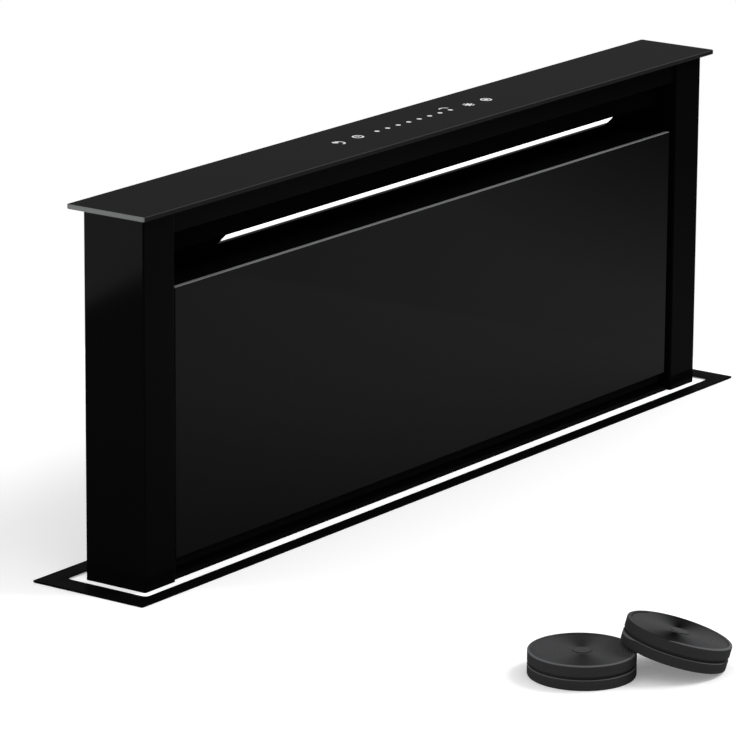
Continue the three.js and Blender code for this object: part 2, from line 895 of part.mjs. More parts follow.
// Forward-curved blades between two rings and a centre disc, with the hub and its steel shaft.
function impeller() {
  const rim = circle(0, 0, impellerRadius, largeFacets);
  const bore = circle(0, 0, bladeInnerRadius, largeFacets);
  const rings = [-1, 1].map((side) => {
    const edge = side * impellerHalfWidth;
    const inner = side * (impellerHalfWidth - impellerRing);
    return crosswise(rim, Math.min(edge, inner), Math.max(edge, inner), [bore]);
  });
  const disc = crosswise(rim, -impellerDisc / 2, impellerDisc / 2);
  const hubOutline = circle(0, 0, impellerHubRadius, smallFacets);
  const hub = crosswise(hubOutline, -impellerHubLength / 2, impellerHubLength);
  const shaftOutline = circle(0, 0, fanShaftRadius, smallFacets);
  const shaft = crosswise(shaftOutline, -fanShaftReach, impellerHubLength + fanShaftEnd);
  const bladeHalf = impellerHalfWidth - impellerRing / 2;
  const start = bladeInnerRadius + bladeEndGap;
  const end = impellerRadius - bladeEndGap;
  const blades = [];
  for (let i = 0; i < bladeCount; i++) {
    const turn = 2 * Math.PI * i / bladeCount;
    const middle = [];
    for (let step = 0; step <= bladeSteps; step++) {
      const share = step / bladeSteps;
      const radius = start + (end - start) * share;
      const angle = turn - bladeSweep * share * share;
      middle.push([radius * Math.cos(angle), radius * Math.sin(angle)]);
    }
    blades.push(crosswise(foldedSheet(middle, bladeGauge), -bladeHalf, bladeHalf));
  }
  return join(disc, hub, shaft, ...rings, ...blades);
}

// External motor can with a bore for the impeller's shaft.
function blowerMotor() {
  const bore = fanShaftRadius + runningGap;
  const chamfer = motorShoulder;
  const profile = [
    [0, -blowerMotorBack],
    [blowerMotorRadius - chamfer, -blowerMotorBack],
    [blowerMotorRadius, -blowerMotorBack + chamfer],
    [blowerMotorRadius, -blowerMotorFront - 2 * chamfer],
    [blowerMotorRadius - chamfer, -blowerMotorFront - chamfer],
    [bore + chamfer, -blowerMotorFront - chamfer],
    [bore + chamfer, -blowerMotorFront],
    [bore, -blowerMotorFront],
    [bore, -fanShaftReach - fanShaftEnd],
    [0, -fanShaftReach - fanShaftEnd],
  ];
  return turnedAlongX(profile, mediumFacets);
}

// Bell-shaped inlet with the spigot that a charcoal filter twists into.
function inletRing(side) {
  const seat = scrollHalfWidth + seam;
  const spigot = carbonRadius + runningGap * 2;
  const flangeEnd = seat + inletWall;
  const profile = [
    [inletThroat, seat - inletNose],
    [inletThroat + inletWall, seat - inletNose],
    [eyeRadius - seam * 2, seat],
    [inletRim, seat],
    [inletRim, flangeEnd],
    [spigot + inletWall, flangeEnd],
    [spigot + inletWall, flangeEnd + spigotLength],
    [spigot, flangeEnd + spigotLength],
    [spigot, flangeEnd],
    [inletThroat + 2 * seam, seat],
    [inletThroat, seat - inletNose],
  ];
  return turnedAlongX(profile, mediumFacets, side);
}

// Arms from the left inlet ring to the hub plate behind the motor.
function motorSpider() {
  const back = -blowerMotorBack - seam;
  const front = back - spiderThickness;
  const hub = crosswise(circle(0, 0, spiderHub, mediumFacets), front, back);
  const arms = [];
  for (let i = 0; i < spiderArms; i++) {
    const arm = rectangle(0, inletThroat + inletWall, -spiderArmWidth / 2, spiderArmWidth / 2);
    arms.push(crosswise(arm, front, back).rotateX(2 * Math.PI * i / spiderArms));
  }
  return [hub, ...arms];
}

// ---- Duct collar -----------------------------------------------------------

// The collar and its damper are turned or drawn about the duct axis, which runs to -Y.
function outletCollar() {
  const inner = collarRadius - collarWall;
  const profile = [
    [inner, 0],
    [collarRadius + collarFlange, 0],
    [collarRadius + collarFlange, collarWall],
    [collarRadius, collarWall],
    [collarRadius, collarLength],
    [inner, collarLength],
    [inner, 0],
  ];
  return turned(profile, largeFacets).rotateX(Math.PI / 2);
}

function damperPin() {
  const half = collarRadius - collarWall - 2 * seam;
  return upright(circle(0, 0, damperPinRadius, smallFacets), -half, half);
}

// A half-moon flap with two knuckles on the pin, at heights that miss the other flap's knuckles.
function damperFlap(side) {
  const radius = collarRadius - collarWall - flapClearance;
  const open = Math.acos(flapHinge / radius);
  const moon = mirrored(arc(0, 0, radius, -open, open, mediumFacets), side);
  const flap = lengthwise(moon, -flapThickness / 2, flapThickness / 2);
  const bore = circle(0, 0, knuckleBore, smallFacets);
  const barrel = circle(0, 0, knuckleRadius, smallFacets);
  const root = side * (knuckleBore + knuckleWall / 2);
  const tip = side * (flapHinge + flapTab);
  const half = flapThickness / 2;
  const tab = rectangle(Math.min(root, tip), Math.max(root, tip), -half, half);
  const starts = side > 0 ? rightKnuckles : leftKnuckles;
  const knuckles = starts.flatMap((place) => {
    const low = place * knuckleLength + knuckleGap / 2;
    const high = (place + 1) * knuckleLength - knuckleGap / 2;
    return [upright(barrel, low, high, [bore]), upright(tab, low, high)];
  });
  return join(flap, ...knuckles);
}

// ---- Control box -----------------------------------------------------------

function controlOutline(inset) {
  const low = -controlTop - controlHeight;
  return roundedRectangle(
    controlLeft + inset,
    controlLeft + controlWidth - inset,
    low + inset,
    -controlTop - inset,
    controlCorner - inset / 2,
  );
}

function controlBox() {
  const back = -caseOuterY - seam;
  const front = back - controlDepth;
  const low = -controlTop - controlHeight;
  const y = back - controlDepth / 2;
  const room = lengthwise(controlOutline(controlWall), front - overrun, back - controlWall);
  const hole = upright(circle(glandX, y, glandThread + seam, smallFacets), low - overrun, low + 2 * overrun);
  return cut(lengthwise(controlOutline(0), front, back), room, hole);
}

function controlBoxLid() {
  const front = -caseOuterY - seam - controlDepth - seam;
  const plate = lengthwise(controlOutline(0), front - controlLid, front);
  const rim = lengthwise(
    controlOutline(controlWall + seam),
    front - controlLid / 2,
    front + 2 * controlLid,
    [controlOutline(2 * controlWall + seam)],
  );
  return join(plate, rim);
}

// A hexagonal gland with a domed nut, about its own axis, its top at zero.
function cableGland() {
  const bore = circle(0, 0, glandBore, smallFacets);
  const hex = circle(0, 0, glandAcrossCorners / 2, 6);
  const radius = glandAcrossCorners / 2 - glandNutInset;
  const low = -glandHex - glandDome;
  const dome = [
    [glandBore, low],
    [radius - glandRound, low],
    [radius, low + glandRound],
    [radius, -glandHex / 2],
    [glandBore, -glandHex / 2],
    [glandBore, low],
  ];
  const thread = circle(0, 0, glandThread, smallFacets);
  return join(
    upright(hex, -glandHex, 0, [bore]),
    turned(dome, smallFacets),
    upright(thread, -glandHex / 2, controlWall + glandThreadEnd, [bore]),
  );
}

// ---- Support brackets ------------------------------------------------------

function supportBracket(side) {
  const y = -caseOuterY - seam - supportGauge / 2;
  const low = -caseDepth - supportGauge / 2;
  const line = [[y, low + supportHeight], [y, low], [y - supportFoot, low]];
  const x = side * supportX;
  const body = crosswise(foldedSheet(line, supportGauge), x - supportHalfWidth, x + supportHalfWidth);
  const slotY = y - supportFoot / 2;
  const slots = [-1, 1].map((end) => {
    const outline = capsule(
      x + end * supportHalfWidth / 2,
      slotY - slotHalfLength,
      slotY + slotHalfLength,
      slotHalfWidth,
      cornerFacets,
    );
    return upright(outline, low - overrun, low + overrun);
  });
  return cut(body, ...slots);
}

// ---- Tower -----------------------------------------------------------------

function topCap() {
  const outline = roundedRectangle(
    -towerX - capSideOverhang,
    towerX + capSideOverhang,
    -towerY - capFrontOverhang,
    towerY + capBackOverhang,
    capCorner,
  );
  return upright(outline, capHeight, capHeight + capThickness, [], glassBevel);
}

// A plate over the columns with a window for the touch board, flanged downward all round.
function capTray() {
  const x = towerX - trayMargin;
  const y = towerY - trayMargin;
  const window = rectangle(windowLeft, windowRight, windowFront, windowBack);
  const rim = rectangle(
    windowLeft - sheet,
    windowRight + sheet,
    windowFront - sheet,
    windowBack + sheet,
  );
  return join(
    upright(rectangle(-x, x, -y, y), trayBottom, trayTop, [window]),
    upright(rim, trayBottom - windowFlange, trayTop, [window]),
  );
}

function controlBoard() {
  const top = trayTop - padHeight;
  const outline = rectangle(
    windowLeft + seam,
    windowRight - seam,
    windowFront + seam,
    windowBack - seam,
  );
  const pads = [];
  const row = (start, count) => {
    for (let i = 0; i < count; i++) {
      pads.push(circle(start + i * padSpacing, padRowY, padRadius, smallFacets));
    }
  };
  row(leftPadX, leftPads);
  row(rightPadX, rightPads);
  pads.push(
    roundedRectangle(
      sliderLeft,
      sliderRight,
      padRowY - sliderHalfWidth,
      padRowY + sliderHalfWidth,
      sliderHalfWidth - seam,
    ),
  );
  const base = upright(outline, top - boardThickness, top);
  return join(base, ...pads.map((pad) => upright(pad, top - boardThickness / 2, top + padHeight)));
}

// An upright tube with the ledge that the front panel's hook hangs on.
function column(side) {
  const left = Math.min(side * towerX, side * columnInnerX);
  const right = Math.max(side * towerX, side * columnInnerX);
  const outer = roundedRectangle(left, right, -towerY, towerY, columnCorner);
  const inner = rectangle(
    left + columnWall,
    right - columnWall,
    -towerY + columnWall,
    towerY - columnWall,
  );
  const tube = upright(outer, -towerFoot, structureTop, [inner]);
  const root = side * (columnInnerX + columnWall / 2);
  const tip = side * (columnInnerX - ledgeLength);
  const ledgeTop = hookTop - hookGauge - seam;
  const ledge = rectangle(Math.min(root, tip), Math.max(root, tip), ledgeTop - ledgeHeight, ledgeTop);
  return join(tube, lengthwise(ledge, ledgeFront, ledgeFront + ledgeGauge));
}

function rearShell() {
  const x = infillX - sheet / 2;
  const back = towerY - sheet / 2;
  const line = [[-x, back - shellReturn], [-x, back], [x, back], [x, back - shellReturn]];
  return upright(foldedSheet(line, sheet), -towerFoot, structureTop);
}

function upperFascia() {
  const front = panelFront + sheet / 2;
  const top = structureTop - sheet / 2;
  const low = fasciaBottom + sheet / 2;
  const line = [
    [panelFront + fasciaUpperReturn, top],
    [front, top],
    [front, low],
    [panelFront + fasciaLowerReturn, low],
  ];
  return crosswise(foldedSheet(line, sheet), -infillX, infillX);
}

// A point on the section of the light bar: along its sloping face and in from that face.
function lightPoint(along, inward) {
  const step = Math.SQRT1_2;
  const y = stripY + (along + inward) * step;
  const z = lightPlane - stripY + (inward - along) * step;
  return [y, z];
}

function lightBlock(width, near, far) {
  return [
    lightPoint(-width / 2, near),
    lightPoint(width / 2, near),
    lightPoint(width / 2, far),
    lightPoint(-width / 2, far),
  ];
}

// A hollow extrusion under the fascia whose sloping face holds the diffuser in a groove.
function lightBar() {
  const top = fasciaBottom - seam;
  const outline = [
    [barFront, top],
    [barFront, lightPlane - barFront],
    [barTip, lightPlane - barTip],
    [barBack, lightPlane - barTip],
    [barBack, top],
  ];
  const slope = lightPlane + (grooveDepth + barWall) / Math.SQRT1_2;
  const hollow = [
    [barFront + barWall, top - barWall],
    [barFront + barWall, slope - barFront - barWall],
    [barBack - barWall, slope - barBack + barWall],
    [barBack - barWall, top - barWall],
  ];
  const half = stripLength / 2 + seam;
  const groove = crosswise(lightBlock(stripWidth + 2 * seam, -overrun, grooveDepth), -half, half);
  return cut(crosswise(outline, -infillX, infillX, [hollow]), groove);
}

function ledDiffuser() {
  const half = stripLength / 2;
  return crosswise(lightBlock(stripWidth, 0, diffuserThickness), -half, half);
}

function ledBoard() {
  const half = stripLength / 2 - seam;
  const far = grooveDepth - seam;
  return crosswise(lightBlock(lightBoardWidth, far - lightBoardThickness, far), -half, half);
}

// A channel over the filters, with its lips turned down.
function airBaffle() {
  const front = filterFront - sheet;
  const back = towerY - sheet - seam - sheet / 2;
  const level = baffleTop - sheet / 2;
  const line = [[front, baffleLip], [front, level], [back, level], [back, baffleLip]];
  return crosswise(foldedSheet(line, sheet), -infillX + sheet + seam, infillX - sheet - seam);
}

function lowerCrossmember() {
  const front = panelFront + sheet / 2;
  const level = shelfTop - sheet / 2;
  const line = [
    [front, -towerFoot],
    [front, level],
    [shelfBack, level],
    [shelfBack, level - shelfTail],
  ];
  const lipBack = filterFront - seam;
  const lip = rectangle(lipBack - retainerGauge, lipBack, level, shelfTop + retainerHeight);
  const long = infillX - sheet - seam;
  return join(
    crosswise(foldedSheet(line, sheet), -long, long),
    crosswise(lip, -long, long),
  );
}

// A framed filter with a pleated core and a pocket for its latch.
function greaseFilter(side) {
  const inner = filterSideGap / 4;
  const outer = infillX - filterSideGap;
  const left = Math.min(side * inner, side * outer);
  const right = Math.max(side * inner, side * outer);
  const rim = roundedRectangle(left, right, filterBottom, filterTop, filterCorner);
  const window = rectangle(
    left + filterFrame,
    right - filterFrame,
    filterBottom + filterFrame,
    latchFloor - filterFrame / 2,
  );
  const frame = lengthwise(rim, filterFront, filterBack, [window]);
  const middle = (filterFront + filterBack) / 2;
  const tuck = filterFrame - coreTuck;
  const span = right - left - 2 * tuck;
  const folds = 2 * Math.round(span / pleatPitch);
  const line = [];
  for (let i = 0; i <= folds; i++) {
    line.push([left + tuck + span * i / folds, middle + (i % 2 ? 1 : -1) * pleatHeight / 2]);
  }
  const coreTop = latchFloor - filterFrame / 2 + coreTuck;
  const core = upright(foldedSheet(line, pleatGauge), filterBottom + tuck, coreTop);
  const centre = (left + right) / 2;
  const half = latchWidth / 2 + runningGap;
  const pocket = rectangle(centre - half, centre + half, latchFloor, filterTop + overrun);
  const wall = pleatGauge + seam;
  return cut(join(frame, core), lengthwise(pocket, filterFront + wall, filterBack - wall));
}

// A sprung slide in the filter's pocket: body, tongue behind the baffle's lip and a finger ledge.
function filterLatch(side) {
  const wall = pleatGauge + seam + runningGap;
  const front = filterFront + wall;
  const back = filterBack - wall;
  const low = latchFloor + latchTravel + runningGap;
  const outline = [
    [front, low],
    [back, low],
    [back, filterTop],
    [front + latchTongueDepth, filterTop],
    [front + latchTongueDepth, filterTop + latchTongue - latchChamfer],
    [front + latchTongueDepth / 2, filterTop + latchTongue],
    [front, filterTop + latchTongue],
  ];
  const centre = side * (filterSideGap / 4 + infillX - filterSideGap) / 2;
  return crosswise(outline, centre - latchWidth / 2, centre + latchWidth / 2);
}

// ---- Front panel -----------------------------------------------------------

function frontGlass() {
  const half = panelHalfWidth;
  const outline = roundedRectangle(-half, half, panelBottom, panelTop, panelCorner);
  return lengthwise(outline, panelFront, panelBack, [], glassBevel);
}

// A frame bonded behind the glass, with a hook at each end that drops over the column's ledge.
function panelFrame() {
  const half = panelHalfWidth - frameInset;
  const low = panelBottom + frameInset;
  const high = panelTop - frameInset;
  const front = panelBack + seam;
  const back = front + sheet;
  const rim = rectangle(-half, half, low, high);
  const window = rectangle(
    -half + frameBorderSide,
    half - frameBorderSide,
    low + frameBorderEnd,
    high - frameBorderEnd,
  );
  const hooks = sides.map(({ side }) => {
    const near = side * (half - hookInset);
    const far = side * (half - hookInset - hookWidth);
    const lineTop = hookTop - hookGauge / 2;
    const tip = back + hookReach - hookGauge / 2;
    const line = [[front + sheet / 2, lineTop], [tip, lineTop], [tip, hookTop - hookDrop]];
    return crosswise(foldedSheet(line, hookGauge), Math.min(near, far), Math.max(near, far));
  });
  return join(lengthwise(rim, front, back, [window]), ...hooks);
}

// ---- Charcoal filters ------------------------------------------------------

// Two round halves with a groove between them, a dished top with one step, and a hub.
function carbonFilter() {
  const groove = carbonRadius - carbonGrooveDepth;
  const grooveTop = carbonBase + carbonGroove;
  const rim = carbonRadius - carbonRim;
  const top = carbonHeight;
  const shoulder = carbonRadius - carbonRound;
  const rounding = arc(shoulder, top - carbonRound, carbonRound, 0, Math.PI / 2, cornerFacets);
  const profile = [
    [0, 0],
    [carbonRadius, 0],
    [carbonRadius, carbonBase],
    [groove, carbonBase],
    [groove, grooveTop],
    [carbonRadius, grooveTop],
    ...rounding,
    [rim, top],
    [rim - carbonDish, top - carbonDish],
    [carbonHub, top - carbonDish],
    [carbonHub, top],
    [0, top],
  ];
  return turned(profile, largeFacets);
}

// The second filter leans on the first: its lower edge is on the worktop and its underside rests on
// the first one's upper rim.
function leaningFilter() {
  const filter = piece("carbon_filter_leaning", carbonFilter(), charcoalPlastic);
  const contact = carbonHeight + seam - carbonRound * (1 - Math.cos(leanAngle));
  const foot = carbonRadius + contact / Math.tan(leanAngle);
  const centre = foot - carbonRadius * Math.cos(leanAngle);
  filter.position.set(centre, 0, carbonRadius * Math.sin(leanAngle));
  filter.rotation.y = leanAngle;
  const heading = group(filter);
  heading.rotation.z = leanHeading;
  return heading;
}

// ---- Assembly --------------------------------------------------------------

function caseGroup() {
  return group(
    piece("worktop_flange", worktopFlange(), flangeSteel),
    piece("flange_gasket", flangeGasket(), blackRubber),
    piece("case_front_panel", caseFrontPanel(), zincSteel),
    piece("case_rear_panel", caseWall(1, rearBeads), zincSteel),
    piece("case_floor_tray", floorTray(), zincSteel),
    ...sides.flatMap(({ word, side }) => [
      piece(`case_${word}_end`, caseEnd(side), zincSteel),
      piece(`guide_rail_${word}`, guideRail(side), aluminium),
      piece(`support_bracket_${word}`, supportBracket(side), zincSteel),
    ]),
  );
}

function liftGroup() {
  const beltParts = sides.flatMap(({ word, side }) => [
    placed(piece(`timing_belt_${word}`, timingBelt(), blackRubber), side * beltX, shaftY, 0),
    placed(piece(`shaft_bearing_${word}`, shaftBearing(side), acetal), 0, shaftY, shaftZ),
    placed(piece(`idler_pulley_${word}`, pulley(axleRadius + seam), acetal), side * beltX, shaftY, idlerZ),
    placed(piece(`drive_pulley_${word}`, pulley(shaftRadius + seam), acetal), side * beltX, shaftY, shaftZ),
  ]);
  return group(
    ...beltParts,
    placed(piece("cross_shaft", crossShaft(), brightSteel), 0, shaftY, shaftZ),
    placed(piece("shaft_gear", shaftGear(), acetal), gearX, shaftY, shaftZ),
    placed(piece("motor_gear", motorGear(), brightSteel), 0, motorY, shaftZ),
    placed(piece("lift_motor", liftMotor(), zincSteel), 0, motorY, shaftZ),
  );
}

function fanGroup() {
  return placed(
    group(
      piece("scroll_left", scrollHalf(-1), greyPlastic),
      piece("scroll_right", scrollHalf(1), greyPlastic),
      piece("impeller", impeller(), blackPlastic),
      piece("blower_motor", blowerMotor(), zincSteel),
      piece("inlet_ring_left", join(inletRing(-1), ...motorSpider()), blackPlastic),
      piece("inlet_ring_right", inletRing(1), blackPlastic),
    ),
    0,
    fanY,
    fanZ,
  );
}

function ductGroup() {
  const collar = placed(piece("outlet_collar", outletCollar(), blackPlastic), 0, coverFront - seam, ductZ);
  const damper = placed(
    group(
      piece("damper_pin", damperPin(), brightSteel),
      ...sides.map(({ word, side }) => piece(`damper_flap_${word}`, damperFlap(side), blackPlastic)),
    ),
    0,
    damperY,
    ductZ,
  );
  return group(collar, damper);
}

function blowerGroup() {
  const glandY = -caseOuterY - seam - controlDepth / 2;
  const glandZ = -controlTop - controlHeight - seam;
  return group(
    piece("blower_box", blowerBox(), zincSteel),
    piece("blower_cover", blowerCover(), zincSteel),
    fanGroup(),
    ductGroup(),
    piece("control_box", controlBox(), blackPlastic),
    piece("control_box_lid", controlBoxLid(), blackPlastic),
    placed(piece("cable_gland", cableGland(), blackPlastic), glandX, glandY, glandZ),
  );
}

function carbonGroup() {
  return placed(
    group(piece("carbon_filter_flat", carbonFilter(), charcoalPlastic), leaningFilter()),
    carbonX,
    carbonY,
    0,
  );
}

function towerGroup() {
  return group(
    piece("top_cap_glass", topCap(), blackGlass),
    piece("cap_tray", capTray(), blackSteel),
    piece("control_board", controlBoard(), circuitBoard),
    piece("rear_shell", rearShell(), blackSteel),
    piece("upper_fascia", upperFascia(), blackSteel),
    piece("light_bar", lightBar(), blackSteel),
    piece("led_diffuser", ledDiffuser(), litDiffuser),
    piece("led_board", ledBoard(), lightBoard),
    piece("air_baffle", airBaffle(), blackSteel),
    piece("lower_crossmember", lowerCrossmember(), blackSteel),
    ...sides.flatMap(({ word, side }) => [
      piece(`${word}_column`, column(side), blackSteel),
      piece(`grease_filter_${word}`, greaseFilter(side), aluminium),
      piece(`filter_latch_${word}`, filterLatch(side), blackPlastic),
      piece(`lift_bracket_${word}`, liftBracket(side), acetal),
    ]),
  );
}

function panelGroup() {
  return group(
    piece("front_glass_panel", frontGlass(), blackGlass),
    piece("panel_frame", panelFrame(), blackSteel),
  );
}

const vent = group(caseGroup(), liftGroup(), blowerGroup(), carbonGroup(), towerGroup(), panelGroup());

export default vent;
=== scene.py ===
"""Rising downdraft vent: finishes, small parts, touch symbols and studio over the vent's CAD model.

Lengths are metres in the model's own frame: the origin is the centre of the cut-out on the worktop,
X runs along the vent, -Y faces the cook and Z is up. The tower is raised.
"""

import json
import math

import bmesh
import bpy
import numpy as np
from bpy.props import FloatProperty, FloatVectorProperty, IntProperty, PointerProperty
from mathutils import Matrix, Vector


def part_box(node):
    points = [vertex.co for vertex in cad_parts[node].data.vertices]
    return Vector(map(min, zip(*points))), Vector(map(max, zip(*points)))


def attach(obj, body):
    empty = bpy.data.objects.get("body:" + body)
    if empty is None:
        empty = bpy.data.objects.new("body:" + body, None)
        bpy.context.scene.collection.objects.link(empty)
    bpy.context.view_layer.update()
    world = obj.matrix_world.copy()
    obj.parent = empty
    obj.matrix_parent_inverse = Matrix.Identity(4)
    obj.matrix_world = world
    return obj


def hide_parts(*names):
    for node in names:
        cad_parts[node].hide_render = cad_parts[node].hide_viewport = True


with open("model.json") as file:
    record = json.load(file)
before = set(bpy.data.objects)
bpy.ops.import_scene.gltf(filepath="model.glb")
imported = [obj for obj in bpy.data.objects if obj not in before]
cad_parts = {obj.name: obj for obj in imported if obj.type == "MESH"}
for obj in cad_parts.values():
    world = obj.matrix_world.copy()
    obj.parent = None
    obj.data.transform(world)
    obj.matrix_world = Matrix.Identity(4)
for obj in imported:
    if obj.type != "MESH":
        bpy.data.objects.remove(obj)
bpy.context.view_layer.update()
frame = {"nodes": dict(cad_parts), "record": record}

bl_info = {
    "name": "Rising downdraft vent",
    "version": (1, 0, 0),
    "blender": (4, 5, 0),
    "location": "3D View > Sidebar > Vent",
    "description": "Finishes a rising downdraft vent and lights it in a plain studio",
    "category": "Object",
}

MM = 0.001
MERGE = 1e-6  # points closer than this are one point
CREASE = math.radians(32)  # sharper edges stay sharp
FLAT = math.radians(0.5)  # faces closer to one plane than this are joined

NODE_SLOT = {part["node"]: part["material_slot"] for part in frame["record"]["subparts"]}
NODE_BODY = {
    node: body
    for body, nodes in frame["record"]["behaviour"]["bodies"].items()
    for node in nodes
}


# ---- Settings --------------------------------------------------------------------------------


def tone(name, description, value):
    """A colour setting."""
    return FloatVectorProperty(
        name=name, description=description, default=value, subtype="COLOR", size=3, min=0.0, max=1.0
    )


def length(name, description, millimetres):
    """A length setting, given in millimetres."""
    return FloatProperty(
        name=name, description=description, default=millimetres * MM, unit="LENGTH", min=0.0
    )


def factor(name, description, value):
    """A setting from nought to one."""
    return FloatProperty(
        name=name, description=description, default=value, subtype="FACTOR", min=0.0, max=1.0
    )


def watts(name, description, value):
    """A power setting."""
    return FloatProperty(name=name, description=description, default=value, unit="POWER", min=0.0)


class VentFinish(bpy.types.PropertyGroup):
    """Colours of the vent's surfaces"""

    cap_glass: tone("Cap glass", "Smoked glass of the cap", (0.0118, 0.0118, 0.0121))
    panel_glass: tone("Panel glass", "Black behind the front glass", (0.0013, 0.0013, 0.0014))
    # painted highlight: the grey of the ground edges that face the light
    glass_edge_highlight: tone("Glass edge", "Ground edges that catch the light", (0.16, 0.163, 0.165))
    cap_front_edge: tone("Cap front edge", "Ground long edges of the cap", (0.012, 0.012, 0.0122))
    dark_edge: tone("Dark glass edge", "Other ground edges of the panel", (0.004, 0.004, 0.004))
    tower_paint: tone("Tower paint", "Satin black on the tower", (0.0018, 0.0018, 0.0019))
    slot_paint: tone("Slot paint", "Dull black on the light bar", (0.0006, 0.0006, 0.0006))
    flange_paint: tone("Flange paint", "Matt black on the flange", (0.0022, 0.0022, 0.0023))
    zinc: tone("Zinc", "Galvanised sheet of the case", (0.50, 0.515, 0.53))
    steel: tone("Bright steel", "Shafts, pins and screws", (0.56, 0.56, 0.57))
    aluminium: tone("Aluminium", "Rails and grease filters", (0.60, 0.61, 0.62))
    black_plastic: tone("Black plastic", "Collar, flaps, control box", (0.012, 0.012, 0.013))
    grey_plastic: tone("Grey plastic", "Scroll of the blower", (0.075, 0.08, 0.085))
    charcoal_plastic: tone("Charcoal plastic", "Round filters", (0.026, 0.0262, 0.027))
    rubber: tone("Rubber", "Gasket and belts", (0.010, 0.010, 0.010))
    acetal: tone("Acetal", "Pulleys, bearings and gear", (0.72, 0.70, 0.64))
    solder_mask: tone("Solder mask", "Touch control board", (0.012, 0.065, 0.03))
    light_board: tone("Light board", "White board behind the diffuser", (0.75, 0.75, 0.72))
    light: tone("Light", "Lit part of the light's cover", (1.0, 1.0, 1.0))
    cover_lit: tone("Opal cover", "Light's cover where it is lit", (0.8, 0.8, 0.8))
    # the cover's colour along its foot, where it is dark
    cover_dim: tone("Smoked cover", "Light's cover along its foot", (0.01, 0.01, 0.01))
    symbol: tone("Symbols", "Light of the touch symbols", (0.62, 0.63, 0.64))
    symbol_print: tone("Symbol print", "Print of the touch symbols", (0.3, 0.3, 0.3))


class VentDetail(bpy.types.PropertyGroup):
    """Sizes of the vent's small parts"""

    edge_ease: length("Eased edges", "Width of the eased edges of sheet metal", 0.25)
    plastic_ease: length("Moulded edges", "Width of the rounded edges of mouldings", 0.4)
    screw_radius: length("Screw head radius", "Radius of the pan-head screws", 3.4)
    screw_height: length("Screw head height", "Height of the pan-head screws", 1.2)
    lip_reach: length("Lip reach", "How far the lip seal stands into the opening", 5.5)
    ridge_pitch: length("Ridge pitch", "Spacing of the rings on the round filters", 2.0)
    ridge_height: length("Ridge height", "Height of the rings on the round filters", 0.35)
    symbol_line: length("Symbol line", "Line width of the touch symbols", 1.7)
    symbol_radius: length("Symbol radius", "Half the width of a touch symbol", 5.3)
    dot_radius: length("Dot radius", "Radius of the dots of the level row", 2.3)
    turned_sides: IntProperty(
        name="Turned sides", description="Sides of a large turned piece", default=128, min=24
    )


class VentStudio(bpy.types.PropertyGroup):
    """Light and floor of the studio"""

    floor: tone("Floor", "Colour of the floor slab", (0.985, 0.985, 0.985))
    ambient: factor("Ambient", "Level of the light that comes from all round", 0.75)
    flag: factor("Dark flag", "What gloss sees of the dark card off the right corner", 0.1)
    paper: factor("Floor glow", "Share of white on the floor besides its light", 0.2)
    key_power: watts("Key light", "Power of the large soft light", 96.0)
    key_size: length("Key size", "Side of the large soft light", 1700)
    side_power: watts("Side light", "Power of the low light at the left", 3.4)
    side_size: length("Side size", "Side of the low light at the left", 300)
    floor_thickness: length("Floor thickness", "Thickness of the floor slab", 38)


# ---- Shader tools ----------------------------------------------------------------------------


def add_node(tree, kind, inputs=None, **settings):
    """A shader node with its settings; an input takes a value, or a socket to link from."""
    node = tree.nodes.new("ShaderNode" + kind)
    for label, value in settings.items():
        setattr(node, label, value)
    for label, value in (inputs or {}).items():
        if isinstance(value, bpy.types.NodeSocket):
            tree.links.new(value, node.inputs[label])
        else:
            node.inputs[label].default_value = value
    return node


def sums(tree, operation, *values, clamp=False):
    """The result of a step on numbers, each a value or a socket."""
    inputs = dict(enumerate(values))
    return add_node(tree, "Math", inputs, operation=operation, use_clamp=clamp).outputs[0]


def product(tree, *values):
    """The product of several numbers."""
    result = values[0]
    for value in values[1:]:
        result = sums(tree, "MULTIPLY", result, value)
    return result


def vector_step(tree, operation, first, second=None, scale=None):
    """The result of a step on vectors: a number for a length or a dot product, else a vector."""
    given = {0: first, 1: second, "Scale": scale}
    inputs = {label: value for label, value in given.items() if value is not None}
    outputs = add_node(tree, "VectorMath", inputs, operation=operation).outputs
    return outputs["Value" if operation in ("LENGTH", "DOT_PRODUCT") else "Vector"]


def ramp(tree, value, begin, end, low=0.0, high=1.0, curve="SMOOTHSTEP"):
    """A number carried from one range to another and kept inside it."""
    inputs = {"Value": value, "From Min": begin, "From Max": end, "To Min": low, "To Max": high}
    return add_node(tree, "MapRange", inputs, interpolation_type=curve).outputs["Result"]


def coordinates(tree, kind="Object"):
    """Object coordinates, or another of the node's vectors."""
    return add_node(tree, "TexCoord").outputs[kind]


def parts_of(tree, vector):
    """The X, Y and Z of a vector."""
    return add_node(tree, "SeparateXYZ", {"Vector": vector}).outputs


def object_noise(tree, scale, detail, roughness=0.5, stretch=None):
    """Noise on object coordinates, scaled along each axis where stretch is given."""
    point = coordinates(tree)
    if stretch is not None:
        point = add_node(tree, "Mapping", {"Vector": point, "Scale": stretch}).outputs["Vector"]
    inputs = {"Vector": point, "Scale": scale, "Detail": detail, "Roughness": roughness}
    return add_node(tree, "TexNoise", inputs).outputs["Fac"]


def mixed(tree, share, first, second):
    """The blend of two colours, each a value or a socket."""
    mix = add_node(tree, "Mix", {"Factor": share}, data_type="RGBA")
    for slot, colour in ((6, first), (7, second)):
        if isinstance(colour, bpy.types.NodeSocket):
            tree.links.new(colour, mix.inputs[slot])
        else:
            mix.inputs[slot].default_value = opaque(colour)
    return mix.outputs[2]


def opaque(colour):
    """A colour setting with its alpha."""
    return (*colour, 1.0)


# ---- Shared shader groups --------------------------------------------------------------------

SOCKET_KINDS = {1: "Float", 3: "Vector", 4: "Color"}  # by how many numbers a socket holds
GREY = (0.5, 0.5, 0.5, 1.0)
LINE_STRETCH = (0.02, 1.0, 1.0)  # draws noise out along X


